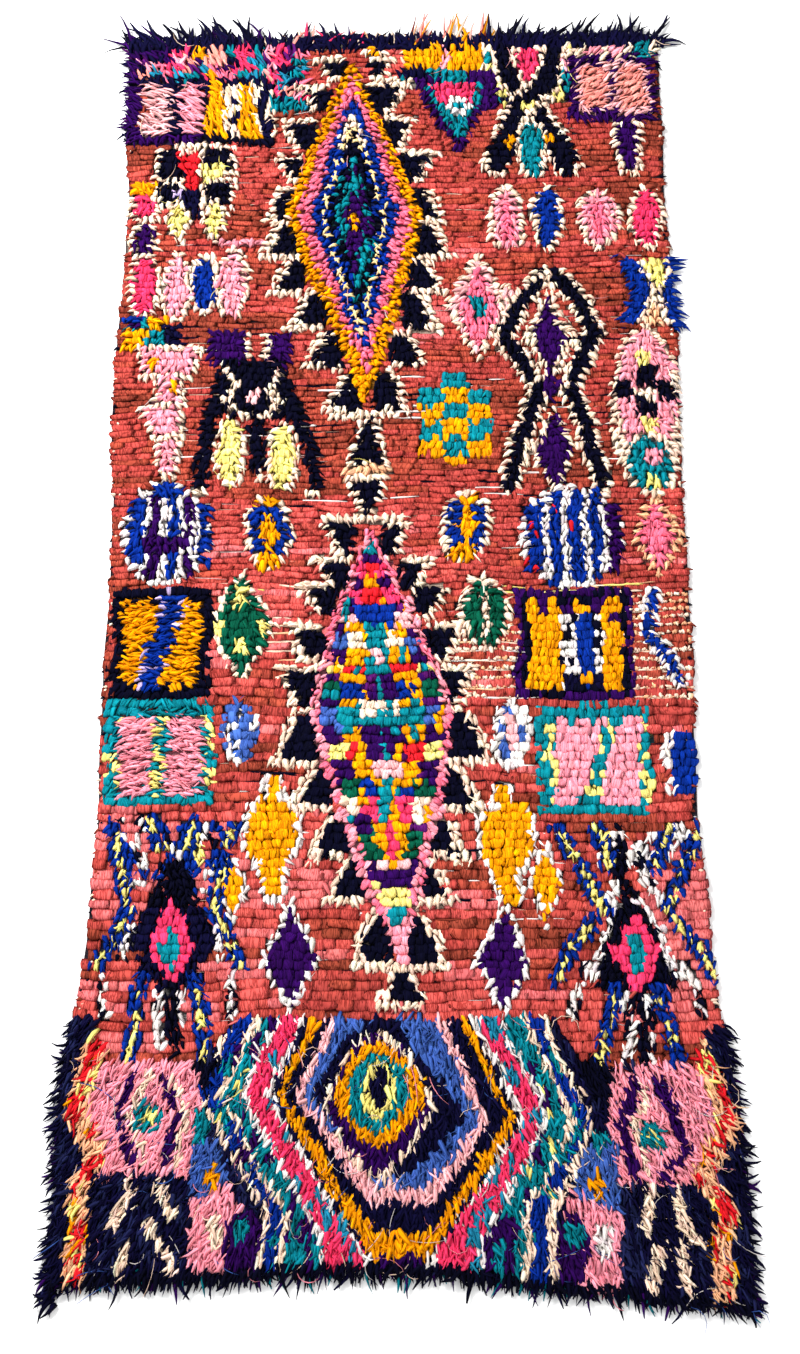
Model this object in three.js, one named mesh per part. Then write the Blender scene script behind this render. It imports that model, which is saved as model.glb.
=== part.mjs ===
// A hand-knotted rag rug lying flat: one solid for the woven ground with its pile,
// and one comb of loose rag ends along each short end. Millimetres, +Z up, +Y along the length.
import * as THREE from 'three';

// Driving sizes
const underside = 0;
const edgeRise = 0.45;          // height of the cut edge, as a share of the pile height there
const shoulder = 14;            // how far in from an edge the pile reaches its full height
const lengthSteps = 62;
const widthSteps = 14;
const rippleHeight = 0.8;       // low unevenness of the pile's top
const rippleAcross = 76;
const rippleAlong = 58;
const fringeGap = 0.3;
const fringeSpine = 9;          // width of the strip that the rag ends leave from
const tipShare = 0.3;           // width of a rag end's tip, as a share of its root

// Where the long edges lie and how high the pile stands, from the low end to the high end
const sections = [
  { y: -1330, left: -628, right: 640, pile: 27 },
  { y: -1250, left: -637, right: 645, pile: 27 },
  { y: -1050, left: -632, right: 638, pile: 27 },
  { y: -900, left: -626, right: 628, pile: 27 },
  { y: -815, left: -612, right: 616, pile: 26 },
  { y: -765, left: -601, right: 606, pile: 17 },
  { y: -600, left: -590, right: 593, pile: 15 },
  { y: -370, left: -580, right: 583, pile: 15 },
  { y: -50, left: -578, right: 581, pile: 15 },
  { y: 200, left: -575, right: 580, pile: 15 },
  { y: 450, left: -582, right: 577, pile: 15 },
  { y: 630, left: -578, right: 576, pile: 15 },
  { y: 900, left: -566, right: 566, pile: 15 },
  { y: 1080, left: -575, right: 562, pile: 18 },
  { y: 1275, left: -580, right: 558, pile: 21 },
];

// The two short ends, by how far along the width they are, 0 at the left edge and 1 at the right
const ends = [
  { across: 0.0, low: -1262, high: 1268 },
  { across: 0.12, low: -1250, high: 1272 },
  { across: 0.3, low: -1240, high: 1274 },
  { across: 0.46, low: -1232, high: 1276 },
  { across: 0.58, low: -1236, high: 1278 },
  { across: 0.72, low: -1262, high: 1280 },
  { across: 0.88, low: -1284, high: 1284 },
  { across: 1.0, low: -1302, high: 1286 },
];

// The loose rag ends: how many stand along each end, how long they are and how far they lean
const fringes = {
  high: { teeth: 46, longest: 66, shortest: 24, lean: 5, thickness: 8, rootShare: 0.78 },
  low: { teeth: 50, longest: 44, shortest: 20, lean: -4, thickness: 9, rootShare: 0.82 },
};

// To-and-fro of the long edges between the sections, as the weaver's width changed
const wanderWaves = [
  { amount: 2.2, rate: 1 / 96, left: 0.4, right: 2.1 },
  { amount: 1.3, rate: 1 / 36, left: 0.8, right: 4.2 },
];

// Unequal lengths of the rag ends: waves of different rates, so that no two neighbours match
const reachWaves = [
  { amount: 0.22, rate: 1.7, phase: 0 },
  { amount: 0.16, rate: 0.61, phase: 1 },
  { amount: 0.12, rate: 4.3, phase: 0 },
];
const middleReach = 0.5;
const swingWave = { rate: 2.3, phase: 0.5 };

const bodyWidth = sections[0].right - sections[0].left;
const bodyLength = ends[0].high - ends[0].low;

const ragNavy = new THREE.MeshStandardMaterial({ color: 0x14132a, roughness: 0.95, metalness: 0 });
const ragTerracotta = new THREE.MeshStandardMaterial({ color: 0xb5493f, roughness: 0.95, metalness: 0 });

// Value of one column of a table at a place between two of its rows, eased so that no corner shows
function between(table, key, column, place) {
  const last = table.length - 1;
  const held = Math.min(Math.max(place, table[0][key]), table[last][key]);
  let row = 0;
  while (row < last - 1 && table[row + 1][key] < held) {
    row += 1;
  }
  const from = table[row];
  const to = table[row + 1];
  const share = (held - from[key]) / (to[key] - from[key]);
  const eased = THREE.MathUtils.smoothstep(share, 0, 1);
  return THREE.MathUtils.lerp(from[column], to[column], (share + eased) / 2);
}

// Place of one long edge at a distance along the rug
function longEdge(side, y) {
  const strays = wanderWaves.map((wave) => wave.amount * Math.sin(y * wave.rate + wave[side]));
  const wander = strays.reduce((sum, stray) => sum + stray, 0);
  return between(sections, 'y', side, y) + wander;
}

// Place on the rug's outline plan, for shares 0 to 1 across the width and along the length
function plan(across, along) {
  const low = between(ends, 'across', 'low', across);
  const high = between(ends, 'across', 'high', across);
  const y = THREE.MathUtils.lerp(low, high, along);
  return new THREE.Vector2(THREE.MathUtils.lerp(longEdge('left', y), longEdge('right', y), across), y);
}

// Shares of a width or length that spread evenly, with two extra ones on the shoulder at each end
function stations(steps, size) {
  const inset = shoulder / size;
  const halfway = 0.4 * inset;
  const shares = [0, halfway];
  for (let step = 0; step <= steps; step += 1) {
    shares.push(THREE.MathUtils.lerp(inset, 1 - inset, step / steps));
  }
  shares.push(1 - halfway, 1);
  return shares;
}

// Pile height: full in the middle, drawn down over the shoulder at every edge, with a low ripple
function pileTop(place, across, along) {
  const full = between(sections, 'y', 'pile', place.y);
  const fromSide = Math.min(across, 1 - across) * bodyWidth;
  const fromEnd = Math.min(along, 1 - along) * bodyLength;
  const rise = Math.sqrt(Math.min(1, Math.min(fromSide, fromEnd) / shoulder));
  const ripple = rippleHeight * Math.sin(place.x / rippleAcross) * Math.sin(place.y / rippleAlong);
  return underside + full * THREE.MathUtils.lerp(edgeRise, 1, rise) + ripple * rise;
}

function rugBody() {
  const acrossStations = stations(widthSteps, bodyWidth);
  const alongStations = stations(lengthSteps, bodyLength);
  const columns = acrossStations.length;
  const rows = alongStations.length;
  const places = [];
  for (const along of alongStations) {
    for (const across of acrossStations) {
      const place = plan(across, along);
      places.push(place.x, place.y, pileTop(place, across, along));
    }
  }
  const triangles = [];
  for (let row = 0; row < rows - 1; row += 1) {
    for (let column = 0; column < columns - 1; column += 1) {
      const near = row * columns + column;
      const far = near + columns;
      triangles.push(near, near + 1, far + 1, near, far + 1, far);
    }
  }
  // The rim runs counter-clockwise round the top and is repeated at the underside for the wall
  const rim = [];
  for (let column = 0; column < columns; column += 1) {
    rim.push(column);
  }
  for (let row = 1; row < rows; row += 1) {
    rim.push(row * columns + columns - 1);
  }
  for (let column = columns - 2; column >= 0; column -= 1) {
    rim.push((rows - 1) * columns + column);
  }
  for (let row = rows - 2; row > 0; row -= 1) {
    rim.push(row * columns);
  }
  const firstFoot = places.length / 3;
  const footprint = rim.map((top) => new THREE.Vector2(places[3 * top], places[3 * top + 1]));
  for (const foot of footprint) {
    places.push(foot.x, foot.y, underside);
  }
  rim.forEach((top, step) => {
    const next = (step + 1) % rim.length;
    triangles.push(top, firstFoot + step, firstFoot + next, top, firstFoot + next, rim[next]);
  });
  for (const [a, b, c] of THREE.ShapeUtils.triangulateShape(footprint, [])) {
    triangles.push(firstFoot + a, firstFoot + c, firstFoot + b);
  }
  const geometry = new THREE.BufferGeometry();
  geometry.setAttribute('position', new THREE.Float32BufferAttribute(places, 3));
  geometry.setIndex(triangles);
  geometry.computeVertexNormals();
  return geometry;
}

// How far one rag end reaches, from 0 for the shortest to 1 for the longest
function reach(tooth) {
  const waves = reachWaves.map((wave) => wave.amount * Math.sin(tooth * wave.rate + wave.phase));
  return waves.reduce((sum, wave) => sum + wave, middleReach);
}

// A comb along one short end: its root follows the body's own stations, and each rag end is a tapered tooth
function fringe(end) {
  const comb = fringes[end];
  const along = end === 'high' ? 1 : 0;
  const outward = end === 'high' ? 1 : -1;
  const root = stations(widthSteps, bodyWidth).map((across) => {
    const edge = plan(across, along);
    return new THREE.Vector2(edge.x, edge.y + outward * fringeGap);
  });
  const tips = [];
  for (let tooth = 0; tooth < comb.teeth; tooth += 1) {
    const from = plan(tooth / comb.teeth, along);
    const to = plan((tooth + 1) / comb.teeth, along);
    const rootHalf = 0.5 * comb.rootShare * (to.x - from.x);
    const middle = 0.5 * (from.x + to.x);
    const base = 0.5 * (from.y + to.y) + outward * fringeSpine;
    const length = THREE.MathUtils.lerp(comb.shortest, comb.longest, reach(tooth + 1));
    const swing = comb.lean * Math.sin(tooth * swingWave.rate + swingWave.phase);
    const tip = base + outward * (length - fringeSpine);
    tips.push(new THREE.Vector2(middle - rootHalf, base));
    tips.push(new THREE.Vector2(middle + swing - tipShare * rootHalf, tip));
    tips.push(new THREE.Vector2(middle + swing + tipShare * rootHalf, tip));
    tips.push(new THREE.Vector2(middle + rootHalf, base));
  }
  const outline = new THREE.Shape([...root, ...tips.reverse()]);
  return new THREE.ExtrudeGeometry(outline, { depth: comb.thickness, bevelEnabled: false });
}

function piece(name, geometry, material) {
  const mesh = new THREE.Mesh(geometry, material);
  mesh.name = name;
  return mesh;
}

const rug = new THREE.Group();
rug.add(piece('rug_body', rugBody(), ragTerracotta));
rug.add(piece('fringe_high_end', fringe('high'), ragNavy));
rug.add(piece('fringe_low_end', fringe('low'), ragNavy));

// The origin is under the middle of the whole rug
const middle = new THREE.Box3().setFromObject(rug).getCenter(new THREE.Vector3());
rug.position.set(-middle.x, -middle.y, 0);

export default rug;
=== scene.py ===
import math
import bpy
import numpy as np
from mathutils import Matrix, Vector


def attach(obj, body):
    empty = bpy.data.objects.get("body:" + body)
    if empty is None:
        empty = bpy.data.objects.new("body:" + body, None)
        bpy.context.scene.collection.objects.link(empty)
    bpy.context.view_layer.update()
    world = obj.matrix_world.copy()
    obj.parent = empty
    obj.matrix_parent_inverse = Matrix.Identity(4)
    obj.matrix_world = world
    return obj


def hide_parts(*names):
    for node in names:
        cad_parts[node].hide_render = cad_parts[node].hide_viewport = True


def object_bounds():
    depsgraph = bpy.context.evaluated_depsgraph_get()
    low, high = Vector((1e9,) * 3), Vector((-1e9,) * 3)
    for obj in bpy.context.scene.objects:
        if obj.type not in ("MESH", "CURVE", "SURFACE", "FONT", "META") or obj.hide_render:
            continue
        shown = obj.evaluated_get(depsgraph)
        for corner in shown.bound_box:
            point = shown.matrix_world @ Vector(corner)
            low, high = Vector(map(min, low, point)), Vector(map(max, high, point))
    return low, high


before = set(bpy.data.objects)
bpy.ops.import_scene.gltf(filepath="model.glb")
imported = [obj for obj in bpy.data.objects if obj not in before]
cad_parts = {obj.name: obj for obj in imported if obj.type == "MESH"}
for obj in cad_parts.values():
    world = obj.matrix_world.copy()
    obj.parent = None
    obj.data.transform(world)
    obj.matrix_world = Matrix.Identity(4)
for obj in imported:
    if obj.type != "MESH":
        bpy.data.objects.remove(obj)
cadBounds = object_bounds()
print("frame loaded:", sorted(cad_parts))

# camera and light

view = {
    "elevation": 76.0,  # degrees above the floor
    "distance": 3.6,  # from the point looked at, metres
    "lookAtShare": -0.0486,  # the point looked at, as a share of the rug's length
    "lens": 48.72,
    "sensor": 36,
}

light = {
    "world": 0.92,
    "lamps": {  # watts and place; the key lamp stands above the far left corner
        "keyLamp": (232.0, (-1.9, 1.5, 2.6)), "fillLamp": (24.0, (2.4, -1.6, 2.4)),
    },
    "lampSize": 1.6,
    "floor": (0.93, 0.93, 0.93),
    "floorSize": 14.0,
}


def addObject(name, data, place=None, aim=None):
    # stands at the place and looks along the aim; without them it stays at the origin
    made = bpy.data.objects.new(name, data)
    if aim:
        made.location = place
        made.rotation_euler = aim.to_track_quat("-Z", "Y").to_euler()
    bpy.context.scene.collection.objects.link(made)
    return made


def placeCamera():
    low, high = (Vector(corner) for corner in cadBounds)
    target = Vector((0, (high.y - low.y) * view["lookAtShare"], 0))
    rise = math.radians(view["elevation"])
    away = Vector((0, -math.cos(rise), math.sin(rise)))
    data = bpy.data.cameras.new("camera")
    data.sensor_width = view["sensor"]
    data.lens = view["lens"]
    bpy.context.scene.camera = addObject("camera", data, target + away * view["distance"], -away)


def lightStudio():
    # an even pale sky and two round lamps that look at the origin
    world = bpy.data.worlds.new("studio")
    world.use_nodes = True
    background = world.node_tree.nodes["Background"]
    background.inputs["Color"].default_value = (1, 1, 1, 1)
    background.inputs["Strength"].default_value = light["world"]
    bpy.context.scene.world = world
    for name, (watts, place) in light["lamps"].items():
        data = bpy.data.lights.new(name, "AREA")
        data.shape = "DISK"
        data.size = light["lampSize"]
        data.energy = watts
        addObject(name, data, place, -Vector(place))
    bpy.context.scene.view_settings.view_transform = "Standard"


placeCamera()
lightStudio()
print("camera and lamps placed")

# dyes

dyes = {  # rag colours, as hexadecimal sRGB; the first five are the ground's; gapShade is painted shade for the weave's top between the rags
    "brick": "ac423b", "rust": "a84636", "coral": "c8524c", "rose": "d66a6a", "brown": "8a3a2b",
    "gapShade": "1d1420", "black": "04041a", "navy": "0a082c", "cream": "ffdec6", "white": "f2e8e4",
    "pink": "ff9bab", "palePink": "ffb8bb", "flamingo": "ff7490", "hotPink": "f03a68", "salmon": "ff9c90",
    "peach": "fabb90", "purple": "2c044e", "plum": "531260", "teal": "067e8c", "sea": "1f82a2",
    "cobalt": "052b8a", "periwinkle": "3f60ac", "mustard": "f29c02", "red": "e2202a", "yellow": "f9e784",
    "green": "04543e", "lavender": "c6b0dc", "slate": "1c2048",
}
dyeNames = list(dyes)
groundDyeCount = 5


def numbersOf(names):
    return [dyeNames.index(name) for name in names]


def toLinear(code):
    # linear = ((s + 0.055) / 1.055) ^ 2.4, or s / 12.92 in the darkest part
    s = np.array([int(code[i:i + 2], 16) / 255 for i in (0, 2, 4)])
    return np.where(s > 0.04045, ((s + 0.055) / 1.055) ** 2.4, s / 12.92)


dyeTable = np.array([toLinear(code) for code in dyes.values()])


def ease(t):
    # 3 t^2 - 2 t^3 between 0 and 1
    t = np.clip(t, 0, 1)
    return t * t * (3 - 2 * t)


def driftNoise(x, y, sizeX, sizeY, seed, cells=97):
    # a lattice of random heights sizeX by sizeY apart, eased between its points
    lattice = np.random.default_rng(seed).random((cells, cells))
    column, line = np.floor(x / sizeX).astype(int), np.floor(y / sizeY).astype(int)
    across, along = ease(x / sizeX - column), ease(y / sizeY - line)
    corner = [[lattice[(line + j) % cells, (column + i) % cells] for i in (0, 1)] for j in (0, 1)]
    low, high = (pair[0] * (1 - across) + pair[1] * across for pair in corner)
    return low * (1 - along) + high * along


def patchNoise(x, y, sizeX, sizeY, seed, cells=211):
    # one random number for each brick of a running bond, sizeX by sizeY
    lattice = np.random.default_rng(seed).random((cells, cells))
    line = np.floor(y / sizeY).astype(int)
    column = np.floor(x / sizeX + 0.5 * (line % 2)).astype(int)
    return lattice[line % cells, column % cells]


# the chart: which dye each place of the pile has, in centimetres

chartSize = {
    "halfWidth": 68.0, "halfLength": 137.0, "cell": 0.25,
    "edge": 1.1,  # width of an outline
    "waverX": 1.2, "waverY": 1.0,  # how far the shapes' edges stray
}


class Chart:
    def __init__(self):
        across, along = (np.arange(-half, half, chartSize["cell"])
                         for half in (chartSize["halfWidth"], chartSize["halfLength"]))
        self.plainX, self.plainY = np.meshgrid(across, along)
        place = (self.plainX, self.plainY)
        self.x = self.plainX + chartSize["waverX"] * (driftNoise(*place, 5, 4, 11) - 0.5)
        self.y = self.plainY + chartSize["waverY"] * (driftNoise(*place, 6, 5, 12) - 0.5)
        self.dye = np.zeros(self.x.shape, int)
        self.shag = np.zeros(self.x.shape, bool)
        self.lean = np.zeros(self.x.shape)
        self.reach, self.girth = np.ones(self.x.shape), np.ones(self.x.shape)

    def oval(self, grow, x, y, halfWidth, halfHeight, power=2):
        # |(x - x0) / a|^power + |(y - y0) / b|^power < 1: a power below 2 brings it nearer to a lozenge
        across, along = np.abs((self.x - x) / (halfWidth + grow)), np.abs((self.y - y) / (halfHeight + grow))
        return across ** power + along ** power < 1

    def box(self, grow, left, right, low, high):
        return self.wedge(grow, left, right, low, high, left, right)

    def lozenge(self, grow, x, y, halfWidth, up, down=None):
        # |x - x0| / a + |y - y0| / b < 1, with b apart for the upper and lower half
        rise = self.y - y
        reach = np.where(rise > 0, up, down or up) + 1.6 * grow
        return np.abs(self.x - x) / (halfWidth + grow) + np.abs(rise) / reach < 1

    def wedge(self, grow, left, right, low, high, topLeft, topRight):
        # a trapezium: its sides run from left and right at low to topLeft and topRight at high
        share = np.clip((self.y - low) / (high - low), 0, 1)
        start = left + (topLeft - left) * share - grow
        end = right + (topRight - right) * share + grow
        return (self.x > start) & (self.x < end) & (self.y > low - grow) & (self.y < high + grow)

    def stroke(self, grow, width, *points):
        # nearer than half a width to a line through the points
        near = np.full(self.x.shape, 1e9)
        for (x0, y0), (x1, y1) in zip(points, points[1:]):
            dx, dy = x1 - x0, y1 - y0
            share = np.clip(((self.x - x0) * dx + (self.y - y0) * dy) / (dx * dx + dy * dy), 0, 1)
            near = np.minimum(near, np.hypot(self.x - x0 - share * dx, self.y - y0 - share * dy))
        return near < width / 2 + grow

    def ring(self, grow, *points):
        # inside a closed line through points: an odd number of its sides lie to the right; it never grows
        inside = np.zeros(self.x.shape, bool)
        for (x0, y0), (x1, y1) in zip(points, points[1:] + points[:1]):
            if y0 != y1:
                crosses = (self.y > min(y0, y1)) & (self.y <= max(y0, y1))
                inside ^= crosses & (self.x < x0 + (self.y - y0) * (x1 - x0) / (y1 - y0))
        return inside

    def boxes(self, *sizes):
        return np.logical_or.reduce([self.box(0, *size) for size in sizes])

    def paint(self, where, dye):
        self.dye[where] = dyeNames.index(dye)

    def draw(self, rows):
        # each row: "shape dye" or "shape dye outline", then the numbers of each place it is drawn at
        for words, *places in rows:
            shape, dye, *outline = words.split()
            for numbers in places:
                for name in outline:
                    self.paint(getattr(self, shape)(chartSize["edge"], *numbers), name)
                self.paint(getattr(self, shape)(0, *numbers), dye)

    def mingle(self, where, names, sizeX, sizeY, seed):
        # rags of several dyes side by side, each brick of the bond one dye
        pick = (patchNoise(self.x, self.y, sizeX, sizeY, seed) * len(names)).astype(int)
        for i, name in enumerate(names):
            self.paint(where & (pick == i), name)

    def fleck(self, where, name, share, sizeX, sizeY, seed):
        # that share of the bond's bricks takes the dye
        self.paint(where & (patchNoise(self.x, self.y, sizeX, sizeY, seed) < share), name)

    def holds(self, *names):
        return np.isin(self.dye, numbersOf(names))

    def cellOf(self, x, y):
        # the chart's line and column for places in metres
        cell = chartSize["cell"]
        line = np.rint((100 * y + chartSize["halfLength"]) / cell).astype(int)
        column = np.rint((100 * x + chartSize["halfWidth"]) / cell).astype(int)
        return np.clip(line, 0, self.x.shape[0] - 1), np.clip(column, 0, self.x.shape[1] - 1)


chart = Chart()

groundTones = {  # limits of a slow noise, and how far they fall where the ground is rosy
    "over": (("coral", 0.60, 0.17), ("rose", 0.71, 0.15)),
    "under": (("rust", 0.42, 0.09), ("brown", 0.30, 0.04)),
    "sides": (("rust", 0.28), ("brown", 0.38)),
}


def paintGround():
    # stretches of one dye along each row, rosier towards the panel, browner at the upper sides
    x, y = chart.plainX, chart.plainY
    tone = 0.62 * driftNoise(x, y, 13, 2.1, 21) + 0.38 * driftNoise(x, y, 31, 17, 22)
    rosy = ease((-25 - y) / 25) - 0.45 * ease((y - 25) / 20) - 0.9 * ease(1.5 - np.abs(y - 36) / 12)
    sides = driftNoise(x, y, 9, 5, 23) * ease((np.abs(x) - 40) / 12) * ease((y - 20) / 20)
    for dye, limit, less in groundTones["over"]:
        chart.paint(tone > limit - less * rosy, dye)
    for dye, limit, less in groundTones["under"]:
        chart.paint(tone < limit - less * rosy, dye)
    for dye, limit in groundTones["sides"]:
        chart.paint(sides > limit, dye)
    chart.ground = chart.dye.copy()


# the two tall lozenges down the middle

upperLozenge = {
    "widest": 86.0, "top": 122.5, "low": 44.0, "halfWidth": 14.0, "bulge": 1.12, "fan": 62,
    "line": ((44, 86, 122.5), (-6.8, -9.5, -10.5)),  # heights and places of its middle line
    "bands": (  # dye, half width, top, bottom
        ("mustard", 14.4, 122.5, 44), ("flamingo", 11.9, 119, 51), ("cobalt", 8.8, 115, 56),
        ("black", 5.9, 105.5, 62.5), ("teal", 3.7, 100.5, 68), ("purple", 2.2, 92, 75),
        ("mustard", 0.9, 87, 82),
    ),
    "arch": (
        ("wedge cream", (-13.4, -7.4, 101.6, 109.2, -11.2, -9.4)),
        ("wedge black", (-12, -8.6, 99.6, 106.4, -10.9, -9.7)),
    ),
}

lowerLozenge = {
    "widest": -20.5, "top": 18.0, "low": -69.5, "halfWidth": 14.2, "band": 1.8, "bulge": 1.30, "fan": 42,
    "line": ((-69.5, -20.5, 18), (0, -3.6, -6)),
    "rows": (  # top of the row, where its second and third dye start, then the dyes from the middle outwards
        (16, 6, 9, "teal"), (12.4, 1.2, 9, "purple", "plum"), (10.4, 1.1, 9, "red", "hotPink"),
        (7.8, 1.4, 9, "mustard", "purple"), (5.4, 2, 6.8, "red", "hotPink", "pink"),
        (2.2, 2.6, 6.8, "mustard", "purple"), (1, 3.4, 6.8, "cobalt", "purple", "palePink"),
        (-0.6, 3.4, 6.8, "cobalt", "palePink", "purple"), (-2.8, 1.7, 6.2, "teal", "mustard", "purple"),
        (-4.6, 1.7, 5.4, "teal", "cream", "periwinkle"), (-7.8, 1.8, 6.4, "palePink", "mustard", "purple"),
        (-10.4, 2.4, 7.2, "teal", "red", "yellow"), (-12.8, 2.8, 7.6, "purple", "mustard", "purple"),
        (-14.6, 3.6, 8, "purple", "cobalt", "green"), (-17.4, 3.9, 8.2, "cream", "mustard", "purple"),
        (-19.4, 3.9, 8.4, "cream", "teal", "periwinkle"), (-21.2, 8.4, 9, "teal", "periwinkle"),
        (-23.6, 4.4, 8.4, "purple", "mustard", "purple"), (-26.4, 4.2, 7.8, "purple", "red", "yellow"),
        (-30, 3.2, 6.8, "palePink", "mustard", "purple"), (-34.2, 2.2, 5.4, "teal", "cobalt", "green"),
        (-37, 1.6, 5, "teal", "hotPink", "cream"), (-41.2, 1.2, 3.4, "hotPink", "mustard", "purple"),
        (-43.8, 1.4, 3.2, "hotPink", "mustard", "green"), (-47.4, 0.9, 2.2, "hotPink", "mustard", "green"),
        (-49.4, 0.7, 3.2, "mustard", "palePink", "purple"), (-51.2, 6, 9, "purple"), (-54.4, 6, 9, "yellow"),
        (-58.2, 6, 9, "teal"), (-62.6, 6, 9, "pink"),
    ),
    "foot": -66.0,
}


def reachOf(plan, height, halfWidth, top, bottom):
    # a (1 - t^bulge), with t from 0 at the widest height to 1 at each tip
    rise = height - plan["widest"]
    share = np.where(rise > 0, rise / (top - plan["widest"]), rise / (bottom - plan["widest"]))
    return halfWidth * (1 - np.clip(share, 0, 1) ** plan["bulge"])


def offLine(plan):
    # how far right of the middle line each place lies
    return chart.x - np.interp(chart.y, *plan["line"])


def nestedIn(plan, halfWidth, top, bottom):
    return np.abs(offLine(plan)) < reachOf(plan, chart.y, halfWidth, top, bottom)


def wholeOf(plan, grow=0.0):
    return nestedIn(plan, plan["halfWidth"] + grow, plan["top"], plan["low"])


def paintUpperLozenge():
    for dye, *sizes in upperLozenge["bands"]:
        chart.paint(nestedIn(upperLozenge, *sizes), dye)
    inside = nestedIn(upperLozenge, *upperLozenge["bands"][3][1:])
    chart.fleck(inside & chart.holds("teal"), "purple", 0.20, 1.1, 2.4, 36)
    chart.fleck(inside & chart.holds("black"), "cobalt", 0.14, 1.2, 2.6, 37)
    chart.fleck(inside & chart.holds("black"), "teal", 0.10, 1.2, 2.2, 38)
    chart.draw(upperLozenge["arch"])


def paintLowerLozenge():
    # rows of patches inside a pink band
    plan = lowerLozenge
    chart.paint(wholeOf(plan), "pink")
    chart.fleck(wholeOf(plan), "flamingo", 0.50, 1.4, 2.4, 39)
    inner = nestedIn(plan, plan["halfWidth"] - plan["band"], plan["top"] - 2.5, plan["low"] + 6)
    offset = np.abs(offLine(plan))
    lows = [row[0] for row in plan["rows"][1:]] + [plan["foot"]]
    for (top, second, third, *names), low in zip(plan["rows"], lows):
        inRow = inner & (chart.y <= top) & (chart.y > low)
        place = np.minimum((offset > second).astype(int) + (offset > third), len(names) - 1)
        for i, name in enumerate(names):
            chart.paint(inRow & (place == i), name)
    chart.paint(inner & (offset < 0.45) & (chart.y < -13) & (chart.y > -30), "teal")
    core = inner & (chart.y < 2) & (chart.y > -48)
    chart.fleck(core & chart.holds("purple"), "plum", 0.16, 2.4, 1.9, 33)
    chart.fleck(core, "mustard", 0.05, 1.2, 3.0, 34)
    chart.fleck(core, "teal", 0.05, 1.2, 2.6, 35)


steps = {
    "bar": 1.5,  # thickness of the cream bar under the foot
    "barIn": 0.3,  # how far the bar reaches into the step
    "barPast": 2.0,  # and how far past its outer end
    "side": 1.5,  # cream beside the slope
    "over": 0.9,  # cream over the head
    "footIn": 0.6, "headIn": 0.2,  # how far the black reaches inwards past the cream
    "head": 0.42,  # the far side, as a share of the foot
    "hangFrom": (93, -20),  # above these heights of the two lozenges a step hangs from its bar
    "rows": (  # inner and outer end, low, high
        (-6.5, -3, 118.5, 122), (-6, 0.6, 110.5, 116.5), (-3, 2.4, 101.8, 108.6), (0.2, 6, 94.6, 100),
        (3.3, 8, 85.8, 92), (3.6, 9.6, 77.6, 84.2), (2.4, 8, 69.4, 75.6), (0.8, 7, 61.2, 68),
        (-1.8, 4.2, 52.8, 59.4), (-4.6, 0.4, 43, 50.4), (-12, -16.4, 118.5, 122), (-15, -20.4, 110.8, 115.4),
        (-18.2, -23.8, 101.4, 107.2), (-20.2, -25.4, 94.4, 98.8), (-22, -26.6, 85.8, 91.6),
        (-21.8, -27.4, 77.6, 84.2), (-19.8, -25.4, 69.4, 76.2), (-15.8, -21.6, 61.2, 68.2),
        (-12.3, -18.2, 52.8, 59.4), (-8.2, -13.6, 43, 50.4), (-9.4, -14.2, 12, 17.8),
        (-10.8, -16.2, 5.4, 10.6),
        (-13.2, -18.6, -0.4, 4.8), (-15.4, -21.2, -9.4, -3.6), (-17, -22.8, -18.9, -12.6),
        (-16.6, -23.4, -29.6, -21), (-13.4, -19.2, -38.6, -31.8), (-10.4, -15.8, -48.2, -41.2),
        (-6.6, -12.6, -56.8, -50), (-2.4, -8, -68.2, -60.2), (-3.2, 1, 12, 18), (0.6, 5.4, 5.2, 10.2),
        (3.4, 8, -0.4, 4.4), (6, 11.6, -9.6, -3.6), (8.6, 13.4, -19, -12), (9.8, 16.6, -29.6, -21),
        (8, 14.2, -38.8, -31), (6.2, 11.4, -48.2, -42), (2.4, 9, -56.8, -50), (1.6, 7.6, -68.6, -60.2),
    ),
}


def paintSteps():
    # each step is a trapezium on a cream bar; high up on its lozenge it hangs from the bar upside down
    for passing in ("cream", "black"):
        for inner, outer, low, high in steps["rows"]:
            out = math.copysign(1, outer - inner)
            wide = abs(outer - inner)
            hangs = low > steps["hangFrom"][low < 30]
            rim = steps["side"] if passing == "cream" else 0
            footIn, headIn = (0, 0) if rim else (steps["footIn"] * out, steps["headIn"] * out)
            long = sorted((inner - footIn, outer + out * rim))
            short = sorted((inner - headIn, inner + out * (steps["head"] * wide + rim)))
            foot, head = (short, long) if hangs else (long, short)
            over = steps["over"] if rim else 0
            ends = (low - over, high) if hangs else (low, high + over)
            chart.paint(chart.wedge(0, *foot, *ends, *head), passing)
            if rim:
                bar = (-steps["bar"], steps["barIn"])
                bar = (high - bar[1], high - bar[0]) if hangs else (low + bar[0], low + bar[1])
                chart.paint(chart.box(0, *sorted((inner, outer + out * steps["barPast"])), *bar), "cream")


between = [  # the small black pair between the two lozenges, and the last step above the panel
    ("box cream", (-14.5, -0.5, 41, 43)),
    ("wedge black cream", (-9.6, -3, 31, 41, -6.9, -6.1)),
    ("box peach", (-11.5, -1.5, 27.6, 30.4)),
    ("wedge black cream", (-7, -6.2, 19.8, 27.2, -9.6, -3)),
    ("box cream", (-15.5, 1.5, 17.8, 20), (-9, 9, -70.6, -68.6)),
    ("wedge black cream", (-3.6, 4.4, -76.2, -70, -0.4, 0.8)),
]

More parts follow.
